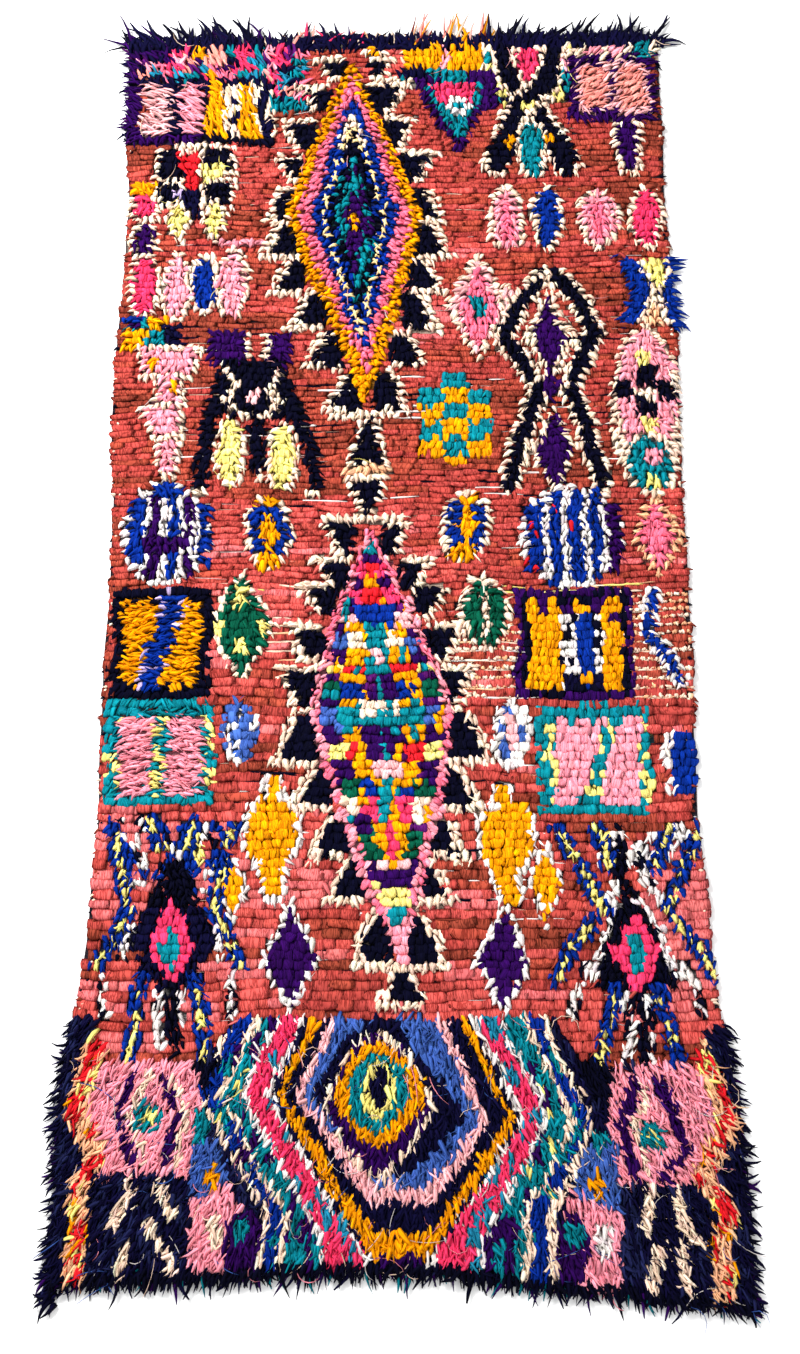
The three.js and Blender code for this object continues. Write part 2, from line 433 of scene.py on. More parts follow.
upperLeft = [
    ("box purple", (-62, -55.4, 104, 128), (-57, -41.5, 102.6, 105.2)),
    ("box navy", (-62, -20, 127.2, 134), (-56, -27, 116, 118), (-48.6, -46.8, 105, 116.2)),
    ("box black", (-42, -26.8, 102.6, 105.2), (-42, -40.2, 105, 114.6)),
    ("box palePink", (-54.6, -48.6, 105, 116.4)),
    ("box pink", (-46.8, -42, 105, 116.6), (-37.6, -27.6, 78.6, 80.4)),
    ("box cream", (-40.2, -26.8, 105, 116.2)),
    ("wedge mustard", (-41.2, -36.8, 105, 119.4, -40.6, -38.6), (-34.2, -30, 105, 117, -33.6, -31.6)),
    ("oval navy", (-35.6, 112.8, 0.9, 1.3), (-35, 108.4, 1.2, 1.6)),
    ("stroke navy", (2, (-28, 105), (-29.6, 110), (-27.4, 117))),
    ("box mustard", (-44, -40.6, 122.4, 125.4)),
    ("box hotPink", (-34.6, -31, 119.6, 122.2)),
    ("box teal", (-27.2, -21, 110.2, 112.8)),
    ("oval cream", (-43.6, 100.8, 4.6, 2.8)),
    ("box black cream", (-50.2, -46, 94.6, 100.6)),
    ("wedge red", (-44.6, -42.6, 91, 100.4, -47, -41.6)),
    ("box black cream", (-41.4, -35.6, 96.4, 101), (-50.4, -46.2, 88.6, 93.2)),
    ("wedge yellow", (-40.6, -38, 92.6, 97.6, -41.6, -36.6)),
    ("oval lavender", (-46.2, 91.2, 1.3, 1.4)),
    ("box navy", (-45.4, -41.6, 85, 92.4)),
    ("box black cream", (-40.4, -35.6, 88.8, 93.4)),
    ("lozenge yellow cream", (-46.4, 84.6, 2.2, 4.4), (-38.6, 85, 2.2, 4.6)),
    ("box mustard", (-56.2, -51, 90, 93.4)),
    ("box hotPink cream", (-55.6, -51.6, 85.6, 89.6)),
    ("oval purple cream", (-53.6, 80.4, 1.9, 3.6)),
    ("oval hotPink cream", (-52.8, 70, 2, 6.4)),
    ("oval pink cream", (-46.2, 70, 2.4, 6.8)),
    ("oval cobalt cream", (-40.4, 70.5, 2.2, 5.8)),
    ("oval pink cream", (-34.8, 70.6, 2.6, 7)),
    ("box teal", (-56.4, -47.8, 55.6, 63.2)),
    ("box mustard", (-56.8, -51.8, 55.2, 60.2), (-52, -47.4, 60, 63.2)),
    ("box cobalt", (-56.6, -52.6, 61.2, 63.4)),
    ("box purple", (-55.6, -53.4, 60.4, 62), (-39.2, -31.4, 52, 59.6), (-28.2, -22.4, 52, 59.4)),
    ("box navy", (-48.2, -44.8, 56.4, 61.2)),
    ("wedge pink cream", (-52, -43.2, 50, 56, -53.2, -41.6)),
    ("box pink cream", (-49.4, -44.6, 44, 50)),
    ("wedge pink cream", (-48.6, -44.8, 36, 43.2, -52, -44.6), (-47.8, -45.6, 28.6, 36, -48.4, -45.2)),
    ("oval mustard", (-50.2, 53, 1.1, 1.1), (-46, 47.6, 0.9, 1)),
    ("wedge coral cream", (-30.6, -28.6, 52, 59, -31, -27.8)),
    ("wedge black", (-38.4, -20.4, 41, 53, -36.6, -23.6)),
    ("stroke black", (2.8, (-37.4, 44), (-39, 38), (-40, 27)), (3.2, (-29, 42), (-28.6, 30.4)),
     (2.8, (-21.4, 44), (-19, 37), (-16.8, 26.4))),
    ("oval yellow cream", (-34.4, 33.2, 2, 6.8), (-23.6, 32.4, 2, 6.8)),
    ("stroke cream", (1.6, (-36, 52), (-33.4, 47.6), (-35.4, 44), (-31.4, 41.6)),
     (1.5, (-24.2, 51), (-26.6, 46.6), (-24, 43.4), (-27.4, 41))),
    ("oval palePink", (-29.4, 45.8, 1.4, 1.5)),
    ("oval cream", (-39.8, 25.2, 1.5, 1.3), (-28.2, 28.4, 1.3, 1.4), (-17.8, 24.6, 1.6, 1.2)),
]

upperRight = [
    ("box cream", (0.5, 19.5, 118.6, 129.4), (36, 55.6, 123.6, 129.2)),
    ("box mustard", (1, 8.6, 120.8, 127.8), (10.2, 17.8, 120.8, 128)),
    ("box pink", (8.6, 10.2, 121, 128), (39.6, 43.2, 123.8, 129), (44.8, 48, 123.8, 129)),
    ("box teal", (18.2, 20.8, 121.6, 127.4), (0, 19.6, 118.2, 120.6), (50.2, 53.2, 123.8, 129)),
    ("oval mustard cream", (-5.2, 125.4, 1.9, 1.5)),
    ("box navy", (0, 6.4, 118.4, 120.8)),
    ("box purple", (14.4, 20.8, 111, 120.6), (36, 54.4, 108.2, 123.6)),
    ("wedge purple", (11.4, 13.6, 100.8, 118.2, 2.8, 20.4)),
    ("wedge teal", (11.8, 13.2, 104, 117.6, 5, 18.2)),
    ("wedge hotPink", (8, 15, 113, 117.6, 6, 17)),
    ("lozenge white", (12.2, 111.6, 3, 3.2)),
    ("oval teal", (12.4, 112, 1.2, 1.4)),
    ("stroke cream", (5.4, (33, 103.6), (35.4, 97.4)), (5.4, (22.2, 103.6), (20.2, 97.4))),
    ("stroke black cream", (3.4, (21.8, 128), (23.6, 118), (27.2, 113.6), (32.6, 104.6), (35.6, 97.4)),
     (3.4, (33.2, 128), (31.6, 118), (27.2, 113.6), (22.6, 105.2), (20.2, 97.4))),
    ("stroke black", (4.4, (33.4, 103), (35, 98.6)), (4.4, (22, 103), (20.6, 98.6))),
    ("lozenge hotPink cream", (27.2, 122, 2.6, 5.4)),
    ("oval yellow", (27.4, 111.6, 1.5, 1.3), (21.8, 114.6, 1.3, 1.4), (33.6, 114.2, 1.3, 1.4)),
    ("oval teal cream", (27.7, 101.6, 2.6, 5.6)),
    ("oval mustard", (23.2, 103.6, 1, 1.6), (31.6, 103.8, 1, 1.6)),
    ("box salmon palePink", (39, 44, 111.4, 120.8), (47, 52.2, 111.4, 120.8)),
    ("wedge purple cream", (47.6, 49.6, 96, 107.2, 45.6, 50.2)),
    ("box rust", (22, 55, 94, 95.6)),
    ("oval pink cream", (22.3, 85.5, 2.8, 6.6), (41.5, 85.5, 3.4, 6.4)),
    ("oval flamingo", (22.5, 85, 1.4, 5), (41.4, 85, 1.6, 4.2)),
    ("oval cobalt cream", (30.8, 85.5, 2.2, 6.4)),
    ("oval hotPink cream", (51.3, 85.5, 2.6, 6.2)),
    ("lozenge palePink cream", (16, 65.5, 6, 10.4)),
    ("lozenge flamingo", (16.2, 65, 4.6, 8.8)),
    ("box teal", (15, 17.6, 62.4, 67.2)),
    ("oval palePink cream", (22.6, 66.4, 1.2, 3.4)),
    ("stroke black cream", (2.5, (30, 73), (24.6, 66), (21.8, 59), (25, 53), (28.2, 47.4)),
     (2.5, (31.6, 73), (37, 67), (40.4, 60), (37, 53), (34.2, 46.6)),
     (2.5, (28.2, 47.4), (26, 41.6), (24.4, 35), (22.2, 27)),
     (2.5, (34.2, 46.6), (37.6, 40), (39, 33), (40.6, 26))),
    ("lozenge coral cream", (31, 58.6, 4.6, 9.4)),
    ("lozenge purple cream", (30.9, 58.4, 3.4, 8.6), (31.1, 34.4, 3.5, 8.6)),
    ("lozenge purple", (30.6, 48, 1.9, 3.4)),
    ("wedge cobalt", (45, 60, 61, 69, 48.4, 58), (48.4, 58, 69, 77, 44.8, 61)),
    ("wedge cream", (49, 56.4, 61, 69, 51.8, 53.8), (51.8, 53.8, 69, 77, 48.6, 57)),
    ("wedge peach", (50.4, 55, 61, 66, 52.4, 53.2)),
    ("wedge yellow", (52, 53.6, 70.6, 77, 50.4, 55.4)),
    ("oval cream", (50.2, 43, 7.4, 18)),
    ("oval pink", (50.2, 46, 5.9, 13.4)),
    ("oval yellow", (50, 54, 1.5, 2.2), (51, 39.2, 1.8, 1.4)),
    ("box black", (48, 52, 47.8, 52.2), (43.8, 47.2, 44.8, 48.4), (52.6, 56.2, 45, 48.8),
     (48.4, 52.2, 41.4, 45)),
    ("box cream", (47.4, 52.4, 45.2, 47.6)),
    ("oval teal cream", (50.4, 31, 4.2, 5.6)),
    ("oval pink", (51, 32.6, 2, 2.2)),
    ("oval yellow", (51, 27.4, 1.6, 1.3)),
]

checks = {  # the teal and mustard checked figure: column sides, then rows with their top
    "columns": (4.0, 8.8, 13.6, 18.6),
    "rows": (
        (50.6, "-t-"), (47.4, "tmt"), (43.8, "mtm"), (40.4, "tmt"), (36.8, "mtm"), (33.2, "-m-"), (29.6, ""),
    ),
    "names": {"t": "teal", "m": "mustard"},
}


def paintChecks():
    for (top, letters), (low, _) in zip(checks["rows"], checks["rows"][1:]):
        for letter, left, right in zip(letters, checks["columns"], checks["columns"][1:]):
            if letter in checks["names"]:
                chart.paint(chart.box(0, left, right, low, top), checks["names"][letter])


middleBand = [
    ("oval white", (-46.6, 16.2, 9, 11.2), (34.2, 15.4, 10.2, 10.6)),
    ("box cobalt", (-54, -51.4, 9.5, 24), (-46.4, -44.4, 7, 25), (-40.2, -38.2, 9.5, 23),
     (25.6, 28.6, 8, 22.6), (30.2, 32.2, 6, 25), (33.8, 36.4, 5.6, 25.4), (38, 40.2, 6, 24.8)),
    ("box purple", (-50.2, -48.2, 6.5, 26), (-43.2, -41.2, 6.5, 25), (-51, -42, 12.6, 15.4),
     (41.4, 43.6, 8, 22.4)),
    ("wedge cobalt", (-50, -43, 24, 27.2, -48, -45)),
    ("oval cobalt cream", (-26.2, 16.4, 4, 6.6), (13, 18, 4.1, 6.6)),
    ("lozenge mustard", (-26.2, 16.4, 2.2, 4.6), (13, 18, 2.2, 4.8)),
    ("box mustard", (-28.6, -23.6, 21.2, 23.2), (-28.4, -24, 9.6, 11.6), (10.6, 15.6, 23, 24.8),
     (10.4, 15.6, 11.2, 13.2)),
    ("lozenge peach", (51.3, 15.8, 5.6, 9.4)),
    ("lozenge flamingo", (51.3, 15.8, 3.9, 7)),
    ("lozenge green cream", (-31.4, -3, 6, 10.4)),
    ("box yellow", (-32.8, -30.2, 0.8, 4.4), (-37, -34.6, -4.6, -1.6), (-28.4, -26, -4.6, -1.6),
     (-32.8, -30.4, -9, -5.4)),
    ("oval green cream", (16.6, 0, 4.2, 6.8)),
    ("stroke cream", (1.5, (17, 7.6), (16.4, -7.4))),
]

framedBoxes = [
    ("box black", (-57, -37, -17.2, 4.6)),
    ("box mustard", (-55, -39.4, -14.6, 2)),
    ("stroke lavender", (5.6, (-45, 1.2), (-49, -13.4))),
    ("stroke cobalt", (4, (-45.2, 1.6), (-49.2, -13.6))),
    ("box purple", (23, 46, -17.8, 4.8)),
    ("box black", (24.2, 45, -16.6, 3.6)),
    ("box mustard", (25.4, 31.6, -15.2, 2.2), (40.2, 43.8, -15.2, 2.2)),
    ("box white", (31.6, 34.8, -15.2, 2.2), (38, 40.2, -15.2, 2.2)),
    ("box cobalt", (34.8, 38, -15.2, 2.2)),
    ("box purple", (27.4, 29.2, -0.2, 2.2), (31.4, 33.6, -0.2, 2.2), (37.4, 40, -0.2, 2.2),
     (41.4, 43.8, -3, -1.2)),
    ("box mustard", (33.6, 37.4, 0.2, 2.2), (35, 37.6, -15, -12.6)),
    ("box navy", (31.8, 35, -15.2, -12.8), (37.6, 40.2, -15.2, -12.8)),
    ("stroke white", (3.4, (49.8, 3.6), (49, -4), (53, -10), (55.2, -14))),
    ("stroke cobalt", (1.7, (49.8, 3.6), (49, -4), (53, -10), (55.2, -14))),
    ("box teal", (-57.2, -36, -38.8, -18.2)),
    ("box pink", (-54.6, -38.4, -36.8, -21)),
    ("box teal", (-48.2, -45.4, -36.8, -21), (26.8, 48.4, -40.6, -18.6)),
    ("box pink", (30.3, 46.4, -38.4, -21.2)),
    ("box teal", (32.6, 33.8, -23, -21.2), (37.2, 38.6, -23.4, -21.2), (42, 43.2, -23, -21.2),
     (35, 36.6, -38.4, -36.6)),
    ("stroke teal", (2.4, (41.4, -22.6), (37.2, -37))),
    ("oval periwinkle", (-31, -24.4, 3.7, 6.4)),
    ("oval periwinkle white", (21.8, -24.8, 2.8, 5.6)),
    ("oval palePink", (21.8, -24.2, 1.3, 3.4)),
    ("oval cobalt", (55, -30.2, 3.1, 6.6)),
    ("stroke white", (1.3, (52.2, -24.6), (51.2, -30), (52.4, -36))),
]

boxFlecks = (  # the dye they lie on, the box, then dye, share, size and seed of the short ends
    *(("teal", size, ("yellow", 0.50, 0.9, 2.3, 51)) for size in (
        (-57.2, -54.6, -36, -21), (-48, -45.4, -36, -21.6), (-38.4, -36, -36, -21),
        (28.2, 30.4, -38, -22), (36, 42.4, -37, -22), (46.2, 48.4, -38, -22))),
    ("white", (31.4, 40.4, -13, 1.4), ("black", 0.42, 1.0, 1.8, 52)),
    ("periwinkle", (-34, 24.6, -31, -18), ("white", 0.34, 1.5, 1.8, 53)),
    ("lavender", (-52, -40, -15, 3), ("cobalt", 0.30, 1.1, 1.7, 54), ("mustard", 0.35, 1.1, 1.7, 55)),
    ("black", (-56, -38, -16, -13.4), ("mustard", 0.34, 1.3, 1.7, 56)),
    ("black", (-56, -38, 1.4, 3.4), ("mustard", 0.26, 1.1, 1.7, 57)),
)


def fleckBoxes():
    for dye, size, *kinds in boxFlecks:
        where = chart.holds(dye) & chart.box(0, *size)
        for kind in kinds:
            chart.fleck(where, *kind)


gourds = {"at": ((-24.5, -43.2), (20.2, -44.6)), "rim": 1.0}


def paintGourds():
    # a neck, a belly and a tapering foot, first in white and grown by the rim
    for rim, dye in ((gourds["rim"], "white"), (0, "mustard")):
        for x, y in gourds["at"]:
            neck = chart.box(rim, x - 1.4, x + 1.0, y, y + 9.6)
            belly = chart.oval(rim, x, y, 4.8, 6.0, 2.5)
            foot = chart.wedge(rim, x - 0.8, x + 1.4, y - 13.0, y - 2.6, x - 3.6, x + 3.8)
            chart.paint(neck | belly | foot, dye)


lowerField = [
    ("lozenge mustard white", (-31.8, -55, 1.8, 5.2), (27.8, -54, 2.5, 7.6)),
    ("lozenge purple white", (-20.6, -68.4, 4.5, 10.2, 8.8), (19.6, -68.6, 4.2, 9.6, 8.8)),
]

spiders = {  # the two dark-bodied figures, with white and blue legs, and what lies on top of them
    "jumble": (  # corners, then dye, share and seed
        (((-56, -41.5), (-31.5, -41.5), (-34, -50), (-37, -57), (-50, -57), (-55, -50)),
         (("cobalt", 0.22, 81), ("white", 0.34, 82), ("black", 0.14, 83), ("yellow", 0.07, 84))),
        (((37.5, -44), (48.5, -44), (48, -58), (38, -58)), (("black", 0.20, 85), ("white", 0.28, 86))),
        (((50, -42), (57, -42), (54.5, -52), (49, -52)), (("cobalt", 0.16, 87), ("white", 0.28, 88))),
    ),
    "body": (
        ("oval navy", (-43.4, -64.8, 7.8, 10.4, 1.4)),
        ("wedge black", (-48, -38, -58, -50, -43.8, -41.4)),
        ("wedge white", (35.6, 53.8, -72, -57.4, 39.8, 46.8)),
        ("wedge black", (36.8, 52.6, -73.6, -57.6, 41, 45.6)),
    ),
    "over": (
        ("lozenge hotPink", (-43.2, -65.6, 4.7, 8.6), (44.5, -67.2, 4.7, 8.4)),
        ("lozenge teal", (-43.5, -66, 2.2, 4.4)),
        ("box teal", (43.2, 45.8, -70.8, -64.4)),
        ("stroke black", (2.2, (-43, -73), (-42.2, -86)), (2, (44.5, -75), (45.4, -87)),
         (2, (42, -43.4), (43, -58))),
    ),
    "legs": (  # middle line, then dye and points: how far out on both sides, and height
        (-43.5, (("cobalt", (12, -43), (8, -51)), ("cobalt", (10, -49), (8, -59), (14, -70)),
                 ("cobalt", (4, -42), (3, -47)), ("cobalt", (5, -72), (7.5, -88)),
                 ("white", (12, -72), (12, -79)), ("white", (2, -74), (1.5, -85)),
                 ("white", (7.5, -58), (9, -68)))),
        (44.5, (("cobalt", (14, -43), (9.5, -51), (6, -59)), ("cobalt", (7, -43), (4, -51)),
                ("cobalt", (8, -61), (12.5, -66), (15, -72)), ("cobalt", (4, -74), (7.5, -88)),
                ("white", (9, -69), (12.5, -79)), ("white", (2, -75), (2, -87)),
                ("white", (2.5, -52), (5.5, -59)))),
    ),
    "width": {"cobalt": 3.0, "yellow": 1.1, "white": 1.7},  # the yellow runs down the middle of the blue
}


def mirroredLegs(dye):
    # the same points on both sides of each middle line
    for middle, legs in spiders["legs"]:
        for name, *points in legs:
            for side in (-1, 1):
                if name == dye:
                    yield [(middle + side * out, height) for out, height in points]


def paintSpiders():
    for corners, kinds in spiders["jumble"]:
        for name, share, seed in kinds:
            chart.fleck(chart.ring(0, *corners), name, share, 1.2, 2.2, seed)
    for points in mirroredLegs("white"):
        leg = chart.stroke(0, spiders["width"]["white"], *points)
        chart.paint(leg, "white")
        chart.fleck(leg, "black", 0.22, 0.8, 1.9, 59)
    chart.draw(spiders["body"])
    for i, points in enumerate(mirroredLegs("cobalt")):
        leg = chart.stroke(0, spiders["width"]["cobalt"], *points)
        chart.paint(leg, "cobalt")
        chart.paint(chart.stroke(0, spiders["width"]["yellow"], *points), "yellow")
        chart.fleck(leg, "cobalt", 0.26, 1.0, 2.4, 60 + i)
    chart.draw(spiders["over"])


# the shaggy panel at the low end

panel = {
    "top": (  # x, then y, of its upper edge
        (-70, -58.2, -57, -54.5, -37.5, -30, 28.5, 34, 54.5, 56.6, 58, 70),
        (-78, -79, -83, -87.6, -87.6, -79.4, -79.4, -87.6, -88.4, -84, -81.5, -80),
    ),
    "corner": (-93.0, -98.0),  # height of the bands' left and right corners
    "rise": (0.50, 0.48),  # how far their sides draw in for each centimetre above the corners
    "drawn": 30,  # over this height
    "bands": (  # from the outside in: dye, left and right corner, height and ends of the foot, and stop
        ("cream", -37.8, 35.8, -114, -25.4, 28.8, -140), ("cobalt", -36.8, 34.8, -114, -24.2, 27.0, -140),
        ("cream", -33.8, 32.7, -114, -21.9, 24.2, -140), ("teal", -32.5, 31.5, -115, -20.4, 22.6, -140),
        ("white", -29.7, 28.0, -119, -14.4, 15.6, -126), ("hotPink", -28.6, 26.9, -119, -13.2, 14.4, -124.4),
        ("white", -25.2, 23.4, -121, -7.0, 6.6, -125), ("navy", -24.1, 22.2, -122.6, -5.4, 5.2, -122.6),
        ("mustard", -23.2, 21.3, -122.6, -4.8, 4.8, -122.6), ("navy", -21.6, 19.8, -117.8, -4.4, 5.0, -117.8),
        ("palePink", -19.7, 17.1, -112.8, -5.8, 5.8, -112.8),
        ("periwinkle", -17.8, 15.3, -109.8, -4.6, 4.2, -109.8),
    ),
    "rings": (
        ("ring navy", ((-4.8, -79), (-10.4, -84), (-15.9, -93), (-12.2, -99.6), (-4.4, -108), (0.6, -108),
         (3.4, -105.7), (12.4, -96.6), (7.8, -91), (2, -85), (-0.9, -79))),
        ("oval cream", (-4.1, -95, 9.8, 13.6, 1.4)),
        ("oval purple", (-4.1, -95, 9, 12.6, 1.4)),
        ("oval mustard", (-3.9, -93.2, 8.4, 10, 1.4)),
        ("oval teal", (-4.1, -92.8, 5.9, 7.5, 1.5)),
        ("oval yellow", (-4.1, -92.3, 3.5, 5.3, 1.6)),
        ("oval navy", (-4.1, -92, 2.1, 3.2)),
        ("wedge purple", (-4.6, 4.6, -126, -121.6, -4.2, 4.2)),
        ("box purple", (-18.6, -15.4, -119.4, -115.6), (16.4, 19.6, -120, -116)),
    ),
    "pinkBoxes": (
        ("box pink", (-58, -36.6, -107.6, -87.6), (38.6, 58.6, -109.2, -88.4)),
    ),
    "sides": (
        ("stroke cream", (1.1, (-46.8, -89), (-49.6, -98), (-46.8, -105)),
         (1.1, (-42.4, -90), (-39.2, -97), (-41.2, -105)), (2.1, (-50, -109.6), (-52.4, -116.8)),
         (2, (-44.6, -109), (-41.6, -114.8)), (2, (-46, -116), (-44, -119.2)),
         (2, (-50, -121), (-50.6, -124.8)), (2, (-42.4, -121), (-41, -124.4)),
         (1.1, (46.2, -91.4), (43.2, -99), (45.6, -106.6)), (2.1, (46.2, -110.4), (45, -117.6)),
         (2, (51, -111.2), (51.6, -116.2), (54.4, -119.6)), (2.1, (47.6, -120), (45.6, -128)),
         (2, (51, -120.4), (52.2, -128))),
        ("stroke purple", (1.6, (-49.4, -89.4), (-51.9, -98), (-49, -105)),
         (1.6, (-44.6, -90), (-41, -97), (-43.4, -105.2)), (1.9, (44, -91), (40.8, -99), (43.6, -107.6)),
         (1.9, (48, -90.8), (51.2, -99), (53, -103), (48.4, -107.2))),
        ("oval teal", (-46.6, -97.6, 2.2, 2.8), (-36.8, -99, 1.6, 2.2)),
        ("oval yellow", (-46.4, -97.6, 1.1, 1.3)),
        ("ring black", ((-39, -87), (-33.6, -86.6), (-35.6, -93.4)),
         ((33.2, -87.6), (40, -88), (38.8, -95.4), (35.6, -95))),
        ("ring periwinkle", ((-38.6, -101), (-34.6, -101.4), (-31, -108), (-32.2, -112.4), (-38.2, -112.4)),
         ((33.4, -103), (40.2, -102.6), (40.2, -114.6), (32, -114.8), (31.4, -109))),
        ("lozenge mustard", (-34.6, -108.2, 1.7, 2.6), (36, -109.6, 1.8, 2.6)),
        ("ring pink", ((-38.2, -112.2), (-32, -109), (-28.6, -113.6), (-31.4, -130), (-38.2, -130)),
         ((31.8, -110.8), (40.4, -114.4), (40.4, -132), (32.4, -132), (29.6, -115))),
        ("oval cream", (-33.6, -117.4, 1.6, 3.2)),
        ("oval purple", (-28.4, -119.6, 3.4, 6), (31.4, -121, 2.8, 6.6)),
        ("oval teal", (-28.8, -117, 1.5, 2.2), (46.6, -100.4, 2.2, 2.9), (36.6, -101.6, 1.7, 2.2),
         (32, -118, 1.4, 2.2)),
        ("oval yellow", (46.7, -100.4, 1.1, 1.3)),
        ("oval white", (37, -119, 1.7, 3.2)),
    ),
    "zigzag": (
        ((-55.8, -82), (-58.0, -88), (-60.0, -96), (-57.8, -100), (-55.8, -104), (-58.6, -110),
         (-59.2, -129)),
        ((54.4, -83), (57.6, -90), (60.4, -99), (55.8, -108), (60.0, -115), (58.2, -119), (59.2, -131)),
    ),
    "edging": 4.0, "redRun": 2.4,  # widths of the zigzag and of the red down its middle
    "lean": 36.0,  # degrees that the rags lean outwards at the sides
    "leanAt": 60,
}


def bandIn(left, right, foot, footLeft, footRight, stop):
    # between two bent sides: each runs from its corner straight up and inwards, and straight down to its foot
    ends = []
    for corner, rise, wide, low in zip(panel["corner"], panel["rise"], (left, right), (footLeft, footRight)):
        inwards = panel["drawn"] * math.copysign(rise, -wide)
        heights = (foot, corner, corner + panel["drawn"])
        ends.append(np.interp(chart.y, heights, (low, wide, wide + inwards)))
    return (chart.x > ends[0]) & (chart.x < ends[1]) & (chart.y > stop)


def paintPanel():
    below = chart.y < np.interp(chart.x, *panel["top"])
    chart.paint(below, "navy")
    kept = chart.dye.copy()
    inside = bandIn(*panel["bands"][0][1:])
    for dye, *sizes in panel["bands"]:
        chart.paint(bandIn(*sizes), dye)
    chart.draw(panel["rings"])
    outer = inside & (np.abs(chart.x + 2) > 14)
    chart.fleck(chart.holds("hotPink") & inside, "sea", 0.26, 1.2, 2.6, 71)
    chart.fleck(chart.holds("cobalt") & inside, "teal", 0.30, 1.6, 2.8, 73)
    chart.fleck(chart.holds("teal") & outer, "purple", 0.26, 1.8, 4.6, 72)
    chart.fleck(chart.holds("teal") & outer, "yellow", 0.04, 0.9, 2.4, 77)
    chart.draw(panel["pinkBoxes"])
    chart.fleck(chart.holds("navy") & ~inside, "slate", 0.34, 1.0, 3.0, 79)
    chart.draw(panel["sides"])
    for points in panel["zigzag"]:
        edging = chart.stroke(0, panel["edging"], *points)
        chart.paint(edging, "peach")
        chart.fleck(edging, "mustard", 0.08, 0.9, 2.6, 74)
        chart.fleck(edging, "yellow", 0.12, 0.9, 2.6, 75)
        chart.fleck(chart.stroke(0, panel["redRun"], *points), "red", 0.55, 0.9, 3.6, 76)
    chart.dye[~below] = kept[~below]
    chart.shag |= chart.plainY < np.interp(chart.plainX, *panel["top"])
    chart.paint(chart.plainY < lowEdge(chart.plainX / 100) * 100 + 0.2, "black")
    chart.lean = np.where(chart.shag, panel["lean"] * chart.plainX / panel["leanAt"], chart.lean)


# outline of the rug, read from the frame

rimSides = {  # side: axis, sign, and how far out its points lie, in metres
    "left": (0, -1, 0.52), "right": (0, 1, 0.52), "low": (1, -1, 1.215), "high": (1, 1, 1.215),
}


def readOutline():
    # the rim of the pile body where it meets the floor: sides as x over y, ends as y over x
    points = np.array([v.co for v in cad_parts["rug_body"].data.vertices])
    floor = np.unique(np.round(points[points[:, 2] < 1e-4], 5), axis=0)
    lines = {}
    for name, (axis, sign, limit) in rimSides.items():
        picked = floor[sign * floor[:, axis] > limit]
        slots = np.round(picked[:, 1 - axis] / 0.004).astype(int)
        keys = np.unique(slots)
        lines[name] = (np.array([picked[slots == k, 1 - axis].mean() for k in keys]),
                       np.array([sign * (sign * picked[slots == k, axis]).max() for k in keys]))
    return lines


outline = readOutline()
lowMean, highMean = (outline[end][1].mean() for end in ("low", "high"))


def lowEdge(x):
    return np.interp(x, *outline["low"])


def highEdge(x):
    return np.interp(x, *outline["high"])


mingled = (  # jumbled places: corners, dyes, size of a patch and seed
    ((((-57, 117.6), (-57, 127), (-19, 128), (-20, 110), (-27.4, 110), (-27.4, 117.6)),),
     ("purple", "navy", "hotPink", "pink", "teal", "flamingo", "plum", "hotPink", "salmon", "sea"),
     2.3, 1.9, 41),
    ((((30.8, 112.6), (30.8, 128.6), (36.4, 128.6), (36.4, 112.6)),
      ((17.8, 111.6), (17.8, 128), (23.2, 128), (23.2, 111.6))),
     ("teal", "cream", "pink", "teal", "navy", "yellow", "white"), 1.6, 2.4, 42),
)


def paintChart():
    paintGround()
    for (rings, *sizes), table in zip(mingled, (upperLeft, upperRight)):
        chart.mingle(np.logical_or.reduce([chart.ring(0, *corners) for corners in rings]), *sizes)
        chart.draw(table)
    paintChecks()
    chart.draw(middleBand)
    chart.fleck(chart.holds("cobalt") & chart.box(0, 24, 42, 6, 22), "red", 0.07, 0.7, 1.7, 43)
    chart.draw(framedBoxes)
    fleckBoxes()
    paintGourds()
    chart.draw(lowerField)
    paintSteps()
    chart.draw(between)
    paintUpperLozenge()
    paintLowerLozenge()
    paintSpiders()
    paintPanel()
    chart.paint(chart.plainY > highEdge(chart.plainX / 100) * 100 - 1.7, "navy")


paintChart()
print("chart painted:", chart.dye.shape)

# how the rags lie


def blur(field, cells):
    # three running means in each direction
    count = 2 * cells + 1
    for axis in (0, 1, 0, 1, 0, 1):
        wide = np.pad(field, [(cells, cells) if a == axis else (0, 0) for a in (0, 1)], mode="edge")
        total = np.cumsum(np.insert(wide, 0, 0, axis=axis), axis=axis)
        ahead = np.take(total, np.arange(count, total.shape[axis]), axis=axis)
        behind = np.take(total, np.arange(0, total.shape[axis] - count), axis=axis)
        field = (ahead - behind) / count
    return field


def nearOther(dye, cells):
    # true where another dye lies within a few cells
    changed = np.zeros(dye.shape, bool)
    for dy, dx in ((0, cells), (0, -cells), (cells, 0), (-cells, 0), (cells, cells), (-cells, -cells)):
        changed |= np.roll(dye, (dy, dx), (0, 1)) != dye
    return changed


